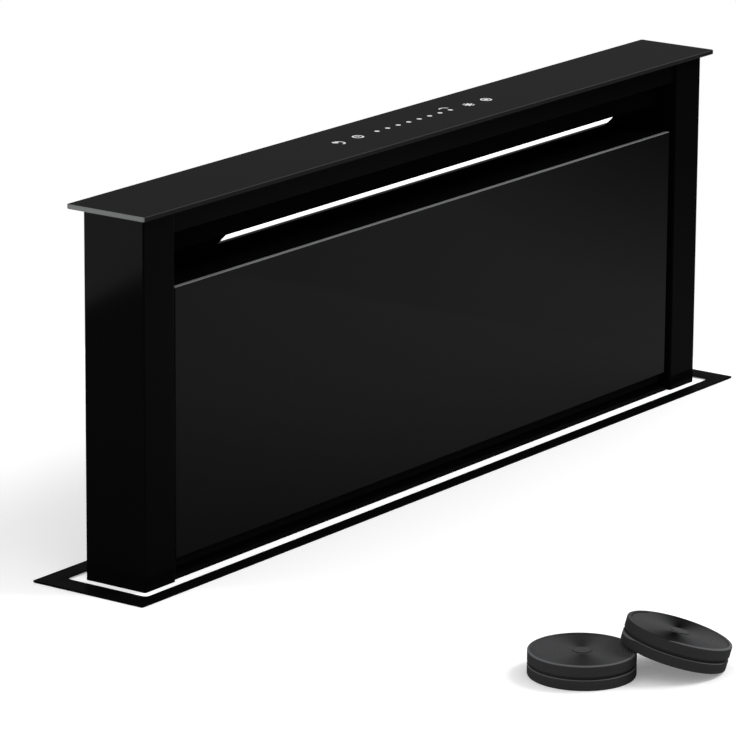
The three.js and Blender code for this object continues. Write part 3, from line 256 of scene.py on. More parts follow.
def new_group(name, inputs, outputs):
    """A shader group with an input for each named value and an output for each name and kind."""
    group = bpy.data.node_groups.new(name, "ShaderNodeTree")
    for label, value in inputs.items():
        kind = "NodeSocket" + SOCKET_KINDS[np.size(value)]
        socket = group.interface.new_socket(label, in_out="INPUT", socket_type=kind)
        socket.default_value = value
    for label, kind in outputs.items():
        group.interface.new_socket(label, in_out="OUTPUT", socket_type="NodeSocket" + kind)
    return group, group.nodes.new("NodeGroupInput").outputs


def close_group(group, **outputs):
    """Links the sockets that a group puts out."""
    end = group.nodes.new("NodeGroupOutput")
    for label, out in outputs.items():
        group.links.new(out, end.inputs[label])
    return group


def place(tree, build, inputs):
    """A shared group in a material, built the first time only; gives its outputs."""
    group = bpy.data.node_groups.get(build.__name__) or build(build.__name__)
    return add_node(tree, "Group", inputs, node_tree=group).outputs


def swung(group, colour, wave, share):
    """A colour that goes a share darker and lighter as a wave goes from nought to one."""
    gain = sums(group, "MULTIPLY_ADD", sums(group, "MULTIPLY_ADD", wave, 2.0, -1.0), share, 1.0)
    return vector_step(group, "SCALE", colour, scale=gain)


def coat_grain(name):
    """Fine orange peel of a sprayed or moulded surface, as a height."""
    group, given = new_group(name, {"Scale": 900.0}, {"Height": "Float"})
    return close_group(group, Height=object_noise(group, given["Scale"], detail=3.0, roughness=0.6))


def tone_spread(name):
    """Slow change of tone over a surface."""
    inputs = {"Colour": GREY, "Share": 0.1, "Scale": 6.0}
    group, given = new_group(name, inputs, {"Colour": "Color"})
    slow = object_noise(group, given["Scale"], detail=2.0)
    return close_group(group, Colour=swung(group, given["Colour"], slow, given["Share"]))


def sheen_spread(name):
    """Roughness that wanders between two values, as on handled or cleaned surfaces."""
    inputs = {"Low": 0.2, "High": 0.3, "Scale": 8.0}
    group, given = new_group(name, inputs, {"Roughness": "Float"})
    slow = object_noise(group, given["Scale"], detail=3.0)
    span = sums(group, "SUBTRACT", given["High"], given["Low"])
    return close_group(group, Roughness=sums(group, "MULTIPLY_ADD", slow, span, given["Low"]))


def drawn_lines(name):
    """Fine lines along X, as on rolled, drawn or turned metal, as a height."""
    group, given = new_group(name, {"Density": 900.0}, {"Height": "Float"})
    lines = object_noise(group, given["Density"], 3.0, roughness=0.6, stretch=LINE_STRETCH)
    return close_group(group, Height=lines)


def tooth_bars(name):
    """Bars across a toothed belt: a sine of the height along Z, made steep and cut at 0 and 1."""
    inputs = {"Pitch": 0.005, "Steepness": 2.0, "Middle": 0.5}
    group, given = new_group(name, inputs, {"Height": "Float"})
    rise = parts_of(group, coordinates(group))["Z"]
    phase = product(group, sums(group, "DIVIDE", rise, given["Pitch"]), 2 * math.pi)
    steep = (sums(group, "SINE", phase), given["Steepness"], given["Middle"])
    return close_group(group, Height=sums(group, "MULTIPLY_ADD", *steep, clamp=True))


def zinc_spangle(name):
    """Zinc crystals: a flat random tone and gloss inside each cell of a crackled plane."""
    inputs = {
        "Colour": GREY, "Scale": 90.0, "Share": 0.2,
        "Crackle": 45.0, "Crackle depth": 0.012, "Roughness from": 0.34, "Roughness span": 0.18,
    }
    group, given = new_group(name, inputs, {"Colour": "Color", "Roughness": "Float"})
    point = coordinates(group)
    crackle = {"Vector": point, "Scale": given["Crackle"], "Detail": 3.0}
    warp = add_node(group, "TexNoise", crackle).outputs["Color"]
    shift = vector_step(group, "SCALE", warp, scale=given["Crackle depth"])
    cells = {"Vector": vector_step(group, "ADD", point, shift), "Scale": given["Scale"]}
    shade = add_node(group, "TexVoronoi", cells).outputs["Color"]
    grey = add_node(group, "SeparateColor", {"Color": shade}).outputs["Red"]
    dull = sums(group, "MULTIPLY_ADD", grey, given["Roughness span"], given["Roughness from"])
    colour = swung(group, given["Colour"], grey, given["Share"])
    return close_group(group, Colour=colour, Roughness=dull)


def slope_band(name):
    """A share that grows from nought to one up a slope that rises towards the cook."""
    group, given = new_group(name, {"Dim at": 0.0, "Full at": 0.001}, {"Share": "Float"})
    along = vector_step(group, "DOT_PRODUCT", coordinates(group), UP_SLOPE)
    return close_group(group, Share=ramp(group, along, given["Dim at"], given["Full at"]))


def edges_and_painted_highlight(name):
    """Masks from a plate's own normal: its narrow faces, and those of them that get a painted
    highlight, which are the ends and whatever rises by more than one share and less than another."""
    inputs = {
        "Axis": (0.0, 0.0, 1.0), "Ends": 1.0, "Arris": 1.0, "Rise from": 0.3, "Rise to": 0.95,
        "Face above": 0.95, "End above": 0.5,
    }
    group, given = new_group(name, inputs, {"Edge": "Float", "Bright": "Float"})
    normal = coordinates(group, "Normal")
    facing = sums(group, "ABSOLUTE", vector_step(group, "DOT_PRODUCT", normal, given["Axis"]))
    parts = parts_of(group, normal)
    end = sums(group, "GREATER_THAN", sums(group, "ABSOLUTE", parts["X"]), given["End above"])
    above = sums(group, "GREATER_THAN", parts["Z"], given["Rise from"])
    below = sums(group, "LESS_THAN", parts["Z"], given["Rise to"])
    arris = product(group, above, below, given["Arris"])
    bright = sums(group, "MAXIMUM", product(group, end, given["Ends"]), arris)
    edge = sums(group, "LESS_THAN", facing, given["Face above"])
    return close_group(group, Edge=edge, Bright=bright)


def painted_filter_light(name):
    """Masks of painted light on a round ribbed plate: painted shade in two soft sectors on both
    sides of its hub, as far as the plate faces up; its rounded upper rim, for a painted highlight;
    and all that faces up."""
    inputs = {
        "Centre": (0.0, 0.0, 0.0), "Heading": 0.0, "Radius": 0.04, "Sharpness": 9.0,
        "Fade": -0.2, "Start": 1.05, "Hub share": 0.2, "Rim share": 0.965,
        "Top above": 0.6, "Rim above": 0.25,
    }
    group, given = new_group(name, inputs, {"Dark": "Float", "Rim": "Float", "Top": "Float"})
    spot = parts_of(group, vector_step(group, "SUBTRACT", coordinates(group), given["Centre"]))
    angle = sums(group, "ARCTAN2", spot["Y"], spot["X"])
    turn = sums(group, "COSINE", sums(group, "SUBTRACT", angle, given["Heading"]))
    sector = sums(group, "POWER", sums(group, "ABSOLUTE", turn), given["Sharpness"])
    flat = add_node(group, "CombineXYZ", {"X": spot["X"], "Y": spot["Y"]}).outputs["Vector"]
    share = sums(group, "DIVIDE", vector_step(group, "LENGTH", flat), given["Radius"])
    fade = sums(group, "MULTIPLY_ADD", share, given["Fade"], given["Start"], clamp=True)
    off_hub = sums(group, "GREATER_THAN", share, given["Hub share"])
    rise = parts_of(group, coordinates(group, "Normal"))["Z"]
    top = sums(group, "GREATER_THAN", rise, given["Top above"])
    outer = sums(group, "GREATER_THAN", share, given["Rim share"])
    rim = product(group, outer, sums(group, "GREATER_THAN", rise, given["Rim above"]))
    return close_group(group, Dark=product(group, sector, fade, top, off_hub), Rim=rim, Top=top)


# ---- Finishes --------------------------------------------------------------------------------

GLASS_FACE = 0.04  # reflection straight off a face of index 1.5, which is specular level 0.5
UP_SLOPE = (0.0, -math.sqrt(0.5), math.sqrt(0.5))  # up the light bar's sloping face
LIGHT_DIM = (193.3 * MM, 196.3 * MM)  # along the slope: the cover is dim below, full above
DIM_SHARE = 0.012  # of the light, along the foot of the cover
FILTER_RADIUS = 42.0 * MM
PAINTED_TOP_SHEEN_GAIN = 2.15  # painted sheen: how much paler the top of a round filter is painted than its wall
PAINTED_RIM_HIGHLIGHT_GAIN = 4.0  # and its upper rim, painted as a highlight
EDGE_DULL = 0.35  # roughness that ground glass has more than polished glass
TRACE_STEPS = 14.0  # copper traces between the lowest and highest noise
TRACE_FROM = 0.72  # share of each step that is bare of copper
TRACE_GAIN, TRACE_LIFT = 2.2, 0.01  # paler copper: the mask's colour times one, plus the other
CAP_INDEX, PANEL_INDEX = 1.012, 1.118  # low, because the painted glass mirrors little
BELT_PITCH = 5.0 * MM
COATS = (  # finish, material, colour setting, index, roughness from and to, grain and its depth
    ("black_steel", "satin_black", "tower_paint", 1.045, (0.07, 0.1), 1300.0, 0.002 * MM),
    ("slot_black", "slot_black", "slot_paint", 1.02, (0.3, 0.4), 1300.0, 0.002 * MM),
    ("flange_steel", "matt_black", "flange_paint", 1.03, (0.45, 0.55), 1100.0, 0.04 * MM),
    ("lip_rubber", "lip_rubber", "flange_paint", 1.03, (0.5, 0.6), 600.0, 0.04 * MM),
    ("black_rubber", "rubber", "rubber", 1.3, (0.75, 0.9), 600.0, 0.04 * MM),
    ("black_plastic", "black_moulding", "black_plastic", 1.35, (0.4, 0.5), 900.0, 0.04 * MM),
    ("grey_plastic", "grey_moulding", "grey_plastic", 1.4, (0.4, 0.5), 900.0, 0.04 * MM),
    ("acetal", "acetal", "acetal", 1.4, (0.3, 0.4), 900.0, 0.04 * MM),
)
FILTER_PAINTED_SHADES = {  # heading of the painted shade about the hub, and its level
    "flat": (math.radians(36), 0.8),
    "leaning": (math.radians(25), 0.06),
}


def specular_level(index):
    """The shader's specular level for a refractive index: half of ((n - 1) / (n + 1)) squared over
    the reflection that level 0.5 stands for."""
    return 0.5 * ((index - 1) / (index + 1)) ** 2 / GLASS_FACE


def material(name, constants, index=None):
    """A material with a Principled shader, and its tree and shader."""
    made = bpy.data.materials.new(name)
    made.use_nodes = True
    shader = made.node_tree.nodes["Principled BSDF"]
    if index is not None:
        constants = {**constants, "Specular IOR Level": specular_level(index)}
    for label, value in constants.items():
        shader.inputs[label].default_value = value
    return made, made.node_tree, shader


def link(tree, out, shader, label):
    """Links a socket to one of the shader's inputs."""
    tree.links.new(out, shader.inputs[label])


def bump(tree, shader, height, distance):
    """Feeds a height through a bump to the shader."""
    node = add_node(tree, "Bump", {"Height": height, "Distance": distance, "Strength": 1.0})
    link(tree, node.outputs["Normal"], shader, "Normal")


def spread(tree, colour, share, scale):
    """A colour whose tone changes slowly over the surface."""
    inputs = {"Colour": opaque(colour), "Share": share, "Scale": scale}
    return place(tree, tone_spread, inputs)["Colour"]


def gloss_spread(tree, gloss, scale):
    """Roughness that wanders between two values."""
    low, high = gloss
    return place(tree, sheen_spread, {"Low": low, "High": high, "Scale": scale})["Roughness"]


def grained(name, colour, index, gloss, grain, depth):
    """Powder coat, moulding or rubber: slow tone, wandering gloss and fine orange peel."""
    made, tree, shader = material(name, {}, index)
    link(tree, spread(tree, colour, share=0.12, scale=7.0), shader, "Base Color")
    link(tree, gloss_spread(tree, gloss, scale=9.0), shader, "Roughness")
    bump(tree, shader, place(tree, coat_grain, {"Scale": grain})["Height"], depth)
    return made


def black_glass(name, colour, edge_highlight, dark_edge, index, sides):
    """Back-painted glass: black faces, and ground edges with a painted highlight on those that face
    the light.
    """
    made, tree, shader = material(name, {}, index)
    masks = place(tree, edges_and_painted_highlight, sides)
    # painted highlight on the edges that face the light; the others keep the darker edge grey
    rims = mixed(tree, masks["Bright"], dark_edge, edge_highlight)
    face = spread(tree, colour, share=0.04, scale=3.0)
    link(tree, mixed(tree, masks["Edge"], face, rims), shader, "Base Color")
    smear = gloss_spread(tree, gloss=(0.03, 0.08), scale=5.0)
    link(tree, sums(tree, "MULTIPLY_ADD", masks["Edge"], EDGE_DULL, smear), shader, "Roughness")
    return made


def toothed(name, colour, pitch):
    """Rubber belt with teeth across it, with painted shade in the valleys between them."""
    made, tree, shader = material(name, {"Roughness": 0.7}, index=1.3)
    bars = place(tree, tooth_bars, {"Pitch": pitch})["Height"]
    # painted shade: the valleys between the teeth are painted darker
    painted_valley_shade = [value / 2 for value in colour]
    link(tree, mixed(tree, bars, painted_valley_shade, colour), shader, "Base Color")
    bump(tree, shader, bars, distance=pitch / 6)
    return made


def galvanised(name, colour):
    """Zinc-coated sheet with its crystals and fine rolling lines."""
    made, tree, shader = material(name, {"Metallic": 0.85})
    inputs = {"Colour": opaque(colour), "Scale": 85.0, "Share": 0.16}
    zinc = place(tree, zinc_spangle, inputs)
    link(tree, zinc["Colour"], shader, "Base Color")
    link(tree, zinc["Roughness"], shader, "Roughness")
    lines = place(tree, drawn_lines, {"Density": 700.0})["Height"]
    bump(tree, shader, lines, distance=0.02 * MM)
    return made


def drawn_metal(name, colour, gloss):
    """Turned steel or drawn aluminium with lines along its length."""
    made, tree, shader = material(name, {"Metallic": 1.0})
    link(tree, spread(tree, colour, share=0.06, scale=20.0), shader, "Base Color")
    link(tree, gloss_spread(tree, gloss, scale=30.0), shader, "Roughness")
    lines = place(tree, drawn_lines, {"Density": 1500.0})["Height"]
    bump(tree, shader, lines, distance=0.02 * MM)
    return made


def round_filter(name, colour, node, heading, shade):
    """Moulding of a round filter with painted light: a painted sheen on top, a painted highlight
    along its upper rim, and painted shade on both sides of its hub along a heading."""
    made, tree, shader = material(name, {"Roughness": 0.4}, index=1.03)
    inputs = {"Centre": centre_of(node), "Heading": heading, "Radius": FILTER_RADIUS}
    fan = place(tree, painted_filter_light, inputs)
    # painted light: a sheen on top, shade in two sectors and a highlight along the rim
    gains = (PAINTED_TOP_SHEEN_GAIN, shade, PAINTED_RIM_HIGHLIGHT_GAIN)
    plate, dark, painted_rim_highlight = ([value * gain for value in colour] for gain in gains)
    body = mixed(tree, fan["Top"], colour, mixed(tree, fan["Dark"], plate, dark))
    link(tree, mixed(tree, fan["Rim"], body, painted_rim_highlight), shader, "Base Color")
    peel = place(tree, coat_grain, {"Scale": 1200.0})["Height"]
    bump(tree, shader, peel, distance=0.03 * MM)
    return made


def glowing(name, light, strength, base):
    """A printed surface that glows, with a faint unevenness."""
    made, tree, shader = material(name, {"Roughness": 0.5, "Emission Strength": strength})
    link(tree, spread(tree, light, share=0.03, scale=25.0), shader, "Emission Color")
    link(tree, spread(tree, base, share=0.05, scale=25.0), shader, "Base Color")
    return made


def light_cover(name, finish, strength):
    """The cover of the light: opal and lit along its upper part, dark and dim along its foot."""
    made, tree, shader = material(name, {"Roughness": 0.4, "Emission Strength": strength})
    dim_at, full_at = LIGHT_DIM
    share = place(tree, slope_band, {"Dim at": dim_at, "Full at": full_at})["Share"]
    dim = [value * DIM_SHARE for value in finish.light]
    full = spread(tree, finish.light, share=0.03, scale=25.0)
    link(tree, mixed(tree, share, dim, full), shader, "Emission Color")
    link(tree, mixed(tree, share, finish.cover_dim, finish.cover_lit), shader, "Base Color")
    return made


def board_finish(name, colour):
    """Solder mask with paler copper traces: thin lines of a stepped noise under the lacquer."""
    made, tree, shader = material(name, {"Roughness": 0.35})
    field = object_noise(tree, scale=90.0, detail=0.0)
    steps = sums(tree, "FRACT", product(tree, field, TRACE_STEPS))
    trace = sums(tree, "GREATER_THAN", steps, TRACE_FROM)
    paler = [min(1.0, value * TRACE_GAIN + TRACE_LIFT) for value in colour]
    link(tree, mixed(tree, trace, colour, paler), shader, "Base Color")
    bump(tree, shader, trace, distance=0.03 * MM)
    return made


def glass_finishes(finish):
    """The cap's and the front panel's glass, whose painted edge highlights differ."""
    cap = {"Axis": (0.0, 0.0, 1.0), "Ends": 1.0, "Arris": 0.22, "Rise to": 0.95}
    panel = {"Axis": (0.0, 1.0, 0.0), "Ends": 0.0, "Arris": 1.0, "Rise to": 1.1}
    bright = finish.glass_edge_highlight
    return {
        "cap_glass": black_glass(
            "cap_glass", finish.cap_glass, bright, finish.cap_front_edge, CAP_INDEX, cap
        ),
        "panel_glass": black_glass(
            "panel_glass", finish.panel_glass, bright, finish.dark_edge, PANEL_INDEX, panel
        ),
    }


def coat_finishes(finish):
    """Paints, mouldings and rubbers, and the rubber of the toothed belts."""
    coats = {
        label: grained(name, getattr(finish, colour), *values)
        for label, name, colour, *values in COATS
    }
    return {**coats, "belt": toothed("toothed_belt", finish.rubber, BELT_PITCH)}


def metal_finishes(finish):
    """Sheet, steel and aluminium."""
    return {
        "zinc_steel": galvanised("galvanised_sheet", finish.zinc),
        "bright_steel": drawn_metal("turned_steel", finish.steel, gloss=(0.2, 0.3)),
        "aluminium": drawn_metal("drawn_aluminium", finish.aluminium, gloss=(0.3, 0.42)),
    }


def light_finishes(finish):
    """The light with its board, the touch board and the symbols."""
    board, symbol = finish.light_board, finish.symbol
    return {
        "lit_diffuser": light_cover("opal_light", finish, strength=1.25),
        "light_board": glowing("light_board", board, strength=0.4, base=board),
        "circuit_board": board_finish("touch_board", finish.solder_mask),
        "symbols": glowing("symbol_print", symbol, strength=0.55, base=finish.symbol_print),
    }


def filter_finishes(finish):
    """The two round filters, each with its painted shade about its own hub."""
    colour = finish.charcoal_plastic
    return {
        "filter_" + word: round_filter(word + "_filter", colour, "carbon_filter_" + word, *shade)
        for word, shade in FILTER_PAINTED_SHADES.items()
    }


FINISHES = {}


def finish_of(label):
    """The finish of a slot, or one of the finishes by its own name; all are made the first time."""
    if not FINISHES:
        finish = bpy.context.scene.vent_finish
        kinds = (glass_finishes, coat_finishes, metal_finishes, light_finishes, filter_finishes)
        for build in kinds:
            FINISHES.update(build(finish))
    return FINISHES[label]


# ---- Surfaces --------------------------------------------------------------------------------

# A surface is an array of points and a list of arrays of faces, which hold the points' rows.
EASE_SEGMENTS = 2  # faces across an eased edge
CORNER_POINTS = 6  # of a rounded corner


def box_of(node):
    """Lowest and highest corner of a CAD node as arrays."""
    low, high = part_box(node)
    return np.array(low), np.array(high)


def centre_of(node):
    """Middle of a CAD node's box."""
    low, high = box_of(node)
    return Vector((low + high) / 2)


def grid_faces(rows, columns, wrap_rows=False, wrap_columns=False):
    """Quads between neighbours in a grid of points that is stored row after row."""
    row, column = np.meshgrid(
        np.arange(rows if wrap_rows else rows - 1),
        np.arange(columns if wrap_columns else columns - 1),
        indexing="ij",
    )
    below, beside = (row + 1) % rows, (column + 1) % columns
    corners = [
        row * columns + column,
        row * columns + beside,
        below * columns + beside,
        below * columns + column,
    ]
    return np.stack(corners, axis=-1).reshape(-1, 4)


def turned(profile, sides):
    """A profile of (radius, height) carried round Z: (radius cos a, radius sin a, height) for each
    angle a."""
    radius, height = np.asarray(profile, dtype=float).T
    angle = np.arange(sides) * 2 * math.pi / sides
    level = np.repeat(height[:, None], sides, axis=1)
    rings = [np.outer(radius, np.cos(angle)), np.outer(radius, np.sin(angle)), level]
    points = np.stack(rings, axis=-1).reshape(-1, 3)
    return points, [grid_faces(len(radius), sides, wrap_columns=True)]


def ribbon(path, width, low, high, closed=False):
    """A line of even width in a plane: each path point moved half the width to both sides along the
    normal of the path, at a lower and an upper height."""
    path = np.asarray(path, dtype=float)
    ahead = np.roll(path, -1, axis=0) - np.roll(path, 1, axis=0)
    if not closed:
        ahead[0] = path[1] - path[0]
        ahead[-1] = path[-1] - path[-2]
    ahead /= np.linalg.norm(ahead, axis=1, keepdims=True)
    normal = np.stack([-ahead[:, 1], ahead[:, 0]], axis=-1) * width / 2
    left, right = path + normal, path - normal
    lift = np.ones((len(path), 1))
    corners = [(left, low), (right, low), (right, high), (left, high)]
    ring = [np.hstack([side, lift * height]) for side, height in corners]
    points = np.stack(ring, axis=1).reshape(-1, 3)
    faces = [grid_faces(len(path), len(ring), closed, wrap_columns=True)]
    if not closed:
        end = np.arange(len(ring))
        faces.append(np.stack([end[::-1], end + len(ring) * (len(path) - 1)]))
    return points, faces


def carried(outline, low, high):
    """A closed outline of (y, z) carried along X and closed at both ends."""
    outline = np.asarray(outline, dtype=float)
    count = len(outline)
    points = np.concatenate([np.insert(outline, 0, at, axis=1) for at in (low, high)])
    first, last = np.arange(2 * count).reshape(2, count)
    return points, [grid_faces(2, count, wrap_columns=True), np.stack([first[::-1], last])]


def arc_path(centre, radius, start, end, steps):
    """Points at (radius cos a, radius sin a) round a centre, between two angles in degrees."""
    angle = np.linspace(math.radians(start), math.radians(end), steps)
    return np.array(centre) + radius * np.stack([np.cos(angle), np.sin(angle)], axis=-1)


def rounded_frame(half_x, front, back, radius):
    """Points of a rounded rectangle, anticlockwise, with a quarter arc at each corner."""
    corners = [
        ((half_x - radius, back - radius), 0),
        ((radius - half_x, back - radius), 90),
        ((radius - half_x, front + radius), 180),
        ((half_x - radius, front + radius), 270),
    ]
    return np.concatenate(
        [arc_path(spot, radius, start, start + 90, CORNER_POINTS) for spot, start in corners]
    )


def moved(surface, matrix):
    """A surface under a matrix."""
    points, faces = surface
    turn = np.array(matrix.to_3x3())
    return points @ turn.T + np.array(matrix.translation), faces


def joined(surfaces):
    """The points and the faces of several surfaces, counted through."""
    firsts = np.cumsum([0] + [len(points) for points, _ in surfaces])
    points = np.concatenate([points for points, _ in surfaces])
    faces = []
    for first, (_, blocks) in zip(firsts, surfaces):
        for block in blocks:
            faces += (block + first).tolist()
    return points, faces


def points_of(mesh):
    """The points of a mesh as rows."""
    points = np.empty(len(mesh.vertices) * 3)
    mesh.vertices.foreach_get("co", points)
    return points.reshape(-1, 3)


def set_points(mesh, points):
    """Puts rows of points back into a mesh."""
    mesh.vertices.foreach_set("co", points.ravel())
    mesh.update()


def merged(mesh, outward=False):
    """Merges doubles, then turns the faces of a new piece outward, or joins the faces of a CAD copy
    that lie in one plane."""
    work = bmesh.new()
    work.from_mesh(mesh)
    bmesh.ops.remove_doubles(work, verts=work.verts, dist=MERGE)
    if outward:
        bmesh.ops.recalc_face_normals(work, faces=work.faces)
    else:
        bmesh.ops.dissolve_limit(work, angle_limit=FLAT, verts=work.verts, edges=work.edges)
    work.to_mesh(mesh)
    work.free()


def new_mesh(name, surfaces):
    """A mesh from computed surfaces, with its faces outward."""
    points, faces = joined(surfaces)
    mesh = bpy.data.meshes.new(name)
    mesh.from_pydata(points, [], faces)
    merged(mesh, outward=True)
    return mesh


def shown(name, mesh, finish, body, nodes=()):
    """A mesh with its finish, smooth up to the crease angle, as a piece that rides on a body and
    stands for CAD nodes."""
    mesh.materials.clear()
    mesh.materials.append(finish_of(finish))
    mesh.polygons.foreach_set("use_smooth", np.ones(len(mesh.polygons), dtype=bool))
    mesh.set_sharp_from_angle(angle=CREASE)
    mesh.update()
    piece = bpy.data.objects.new(name, mesh)
    bpy.context.scene.collection.objects.link(piece)
    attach(piece, body)
    if nodes:
        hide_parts(*nodes)
    return piece


def surface_piece(name, surfaces, finish, body, nodes=()):
    """A piece from computed surfaces."""
    return shown(name, new_mesh(name, surfaces), finish, body, nodes)


def eased(node, width=0.0, finish=None):
    """A merged copy of a CAD node, with eased edges where a width is given, in the node's place."""
    name = node + "_finished"
    mesh = frame["nodes"][node].data.copy()
    mesh.name = name
    for attribute in [a for a in mesh.attributes if a.name == "custom_normal"]:
        mesh.attributes.remove(attribute)
    merged(mesh)
    slot = NODE_SLOT[node]
    piece = shown(name, mesh, finish or slot, NODE_BODY[node], [node])
    if width > 0:
        bevel = piece.modifiers.new("Eased edges", "BEVEL")
        bevel.width = width
        bevel.segments = EASE_SEGMENTS
        bevel.limit_method = "ANGLE"
        bevel.angle_limit = CREASE
        piece.modifiers.new("Flat faces", "WEIGHTED_NORMAL").keep_sharp = True
    return piece


def eased_all(nodes, width=0.0):
    """Several CAD nodes eased alike."""
    for node in nodes:
        eased(node, width)


# ---- Tower -----------------------------------------------------------------------------------

SYMBOL_DEPTH = 0.03 * MM  # the symbols lie this deep in the cap's top
LIGHT_EDGE = (200.3 * MM, 201.3 * MM)  # along the slope: the upper edge of the cover and its groove
LIGHT_RISE = 1.6 * MM  # how far that edge is raised
LIGHT_REACH = 285.0 * MM  # half the length of the groove, and a little
STRIP_GAP = 0.75 * MM  # between the rest strip and the glass
STRIP_DEPTH = 5.0 * MM
STRIP_ROOT = 0.1 * MM  # how far the strip is let into the crossmember
STRIP_END = 3.0 * MM  # from the end of the glass to the end of the strip
CROWN_POINTS = 9  # of the strip's rounded top


def raised_edge(piece):
    """Moves the upper edge of the light's cover, or of its groove, up the slope: each point between
    two heights along the slope gains the same rise."""
    points = points_of(piece.data)
    along = points @ np.array(UP_SLOPE)
    low, high = LIGHT_EDGE
    edge = (along > low) & (along < high) & (abs(points[:, 0]) < LIGHT_REACH)
    points[edge] += np.array(UP_SLOPE) * LIGHT_RISE
    set_points(piece.data, points)


class VENT_OT_glass(bpy.types.Operator):
    """Put polished black glass on the cap and the front panel"""

    bl_idname = "vent.glass"
    bl_label = "Black glass"

    def execute(self, context):
        cap = eased("top_cap_glass", finish="cap_glass").data
        points = points_of(cap)
        top = box_of("top_cap_glass")[1][2]
        points[points[:, 2] > top - MERGE, 2] -= SYMBOL_DEPTH
        set_points(cap, points)
        eased("front_glass_panel", finish="panel_glass")
        return {"FINISHED"}


class VENT_OT_tower(bpy.types.Operator):
    """Coat the tower's columns, fascia, shell, crossmember and light bar in black"""

    bl_idname = "vent.tower"
    bl_label = "Tower"

    def execute(self, context):
        ease = context.scene.vent_detail.edge_ease
        pieces = (
            "left_column", "right_column", "upper_fascia", "lower_crossmember",
            "air_baffle", "rear_shell", "cap_tray", "panel_frame",
        )
        eased_all(pieces, ease)
        raised_edge(eased("light_bar", ease, "slot_black"))
        eased("control_board")
        return {"FINISHED"}


class VENT_OT_light(bpy.types.Operator):
    """Light the cover of the light and its board"""

    bl_idname = "vent.light"
    bl_label = "Light"

    def execute(self, context):
        raised_edge(eased("led_diffuser"))
        eased("led_board")
        return {"FINISHED"}


class VENT_OT_rest_strip(bpy.types.Operator):
    """Lay the rubber strip behind the foot of the front panel, which closes the gap below it"""

    bl_idname = "vent.rest_strip"
    bl_label = "Rest strip"

    def execute(self, context):
        low, high = box_of("front_glass_panel")
        root = box_of("lower_crossmember")[1][2] - STRIP_ROOT
        front, top, rounding = high[1] + STRIP_GAP, low[2] - STRIP_GAP, STRIP_DEPTH / 2
        back = front + STRIP_DEPTH
        crown = arc_path((front + rounding, top - rounding), rounding, 0, 180, CROWN_POINTS)
        outline = [(front, root), (back, root), *crown]
        strip = carried(outline, low[0] + STRIP_END, high[0] - STRIP_END)
        surface_piece("rest_strip", [strip], "lip_rubber", "tower")
        return {"FINISHED"}


class VENT_OT_grease_filters(bpy.types.Operator):
    """Finish the two grease filters and their latches"""

    bl_idname = "vent.grease_filters"
    bl_label = "Grease filters"

    def execute(self, context):
        eased_all(("grease_filter_left", "grease_filter_right"))
        ease = context.scene.vent_detail.plastic_ease
        eased_all(("filter_latch_left", "filter_latch_right"), ease)
        return {"FINISHED"}


# ---- Touch symbols ---------------------------------------------------------------------------

ROW_Y = 2.0 * MM  # the row of symbols, and the places along it
AGAIN_X = -106.1 * MM
CLOCK_X = -77.1 * MM
LEVEL_X = np.linspace(-50.0, 57.7, 8) * MM
WAVE_X, WAVE_RISE = 57.4 * MM, 5.2 * MM  # the arc's centre along the row, and above it
LAMP_X = 85.1 * MM
POWER_X = 111.6 * MM
RING_POINTS = 32
AGAIN_TURN, WAVE_TURN = (100, -100), (135, 5)  # degrees, from and to
AGAIN_POINTS, WAVE_POINTS = 25, 17
LAMP_RAYS = 8
NEARLY = 0.999  # so that a filled ring leaves a hole too small to see
HAND_WIDTH = 0.7  # of the clock's hands, as a share of the line
ARC_RADIUS = 0.95  # this and all below are shares of the symbol radius
AGAIN_CENTRE = (-0.1, -0.3)
AGAIN_HEAD, AGAIN_HEAD_RADIUS = (-0.1, 0.62), 0.55  # from the arc's centre
CLOCK_HANDS = ((0.0, 0.6), (-0.1, 0.0), (0.45, 0.0))  # upper, left and right end
LAMP_RADIUS, RAY_FROM, RAY_TO = 0.62, 0.72, 1.02
POWER_DOT = 0.42


def stroke(path, width, closed=False):
    """A line of even width, from just under the cap's glass to its top."""
    top = box_of("top_cap_glass")[1][2]
    return ribbon(path, width, top - 2 * SYMBOL_DEPTH, top, closed)


def ring(centre, radius, width):
    """A circle drawn with a line."""
    return stroke(arc_path(centre, radius, 0, 360, RING_POINTS + 1)[:-1], width, closed=True)


def dot(centre, radius):
    """A filled circle: a ring as wide as its own radius allows."""
    return ring(centre, radius / 2, radius * NEARLY)


def again_symbol(line, reach):
    """A turning arrow: an open arc with a round head."""
    centre = np.array((AGAIN_X, ROW_Y)) + reach * np.array(AGAIN_CENTRE)
    arc = arc_path(centre, ARC_RADIUS * reach, *AGAIN_TURN, AGAIN_POINTS)
    head = centre + reach * np.array(AGAIN_HEAD)
    return [stroke(arc, line), dot(head, AGAIN_HEAD_RADIUS * reach)]


def clock_symbol(line, reach):
    """A clock: a ring with two hands."""
    centre = np.array((CLOCK_X, ROW_Y))
    upper, left, right = centre + reach * np.array(CLOCK_HANDS)
    hands = [stroke(hand, line * HAND_WIDTH) for hand in ((centre, upper), (left, right))]
    return [ring(centre, reach - line / 2, line), *hands]


def level_symbol(line, reach, radius):
    """The level row: a row of dots with an arc over the last."""
    arc = arc_path((WAVE_X, ROW_Y + WAVE_RISE), ARC_RADIUS * reach, *WAVE_TURN, WAVE_POINTS)
    return [*(dot((x, ROW_Y), radius) for x in LEVEL_X), stroke(arc, line)]


def lamp_symbol(line, reach):
    """A lamp: a dot with short rays round it."""
    centre = np.array((LAMP_X, ROW_Y))
    inner, outer = (
        arc_path(centre, share * reach, 0, 360, LAMP_RAYS + 1)[:-1] for share in (RAY_FROM, RAY_TO)
    )
    rays = [stroke(ends, line) for ends in zip(inner, outer)]
    return [dot(centre, LAMP_RADIUS * reach), *rays]


def power_symbol(line, reach):
    """A ring with a dot in it."""
    centre = (POWER_X, ROW_Y)
    return [ring(centre, reach - line / 2, line), dot(centre, POWER_DOT * reach)]


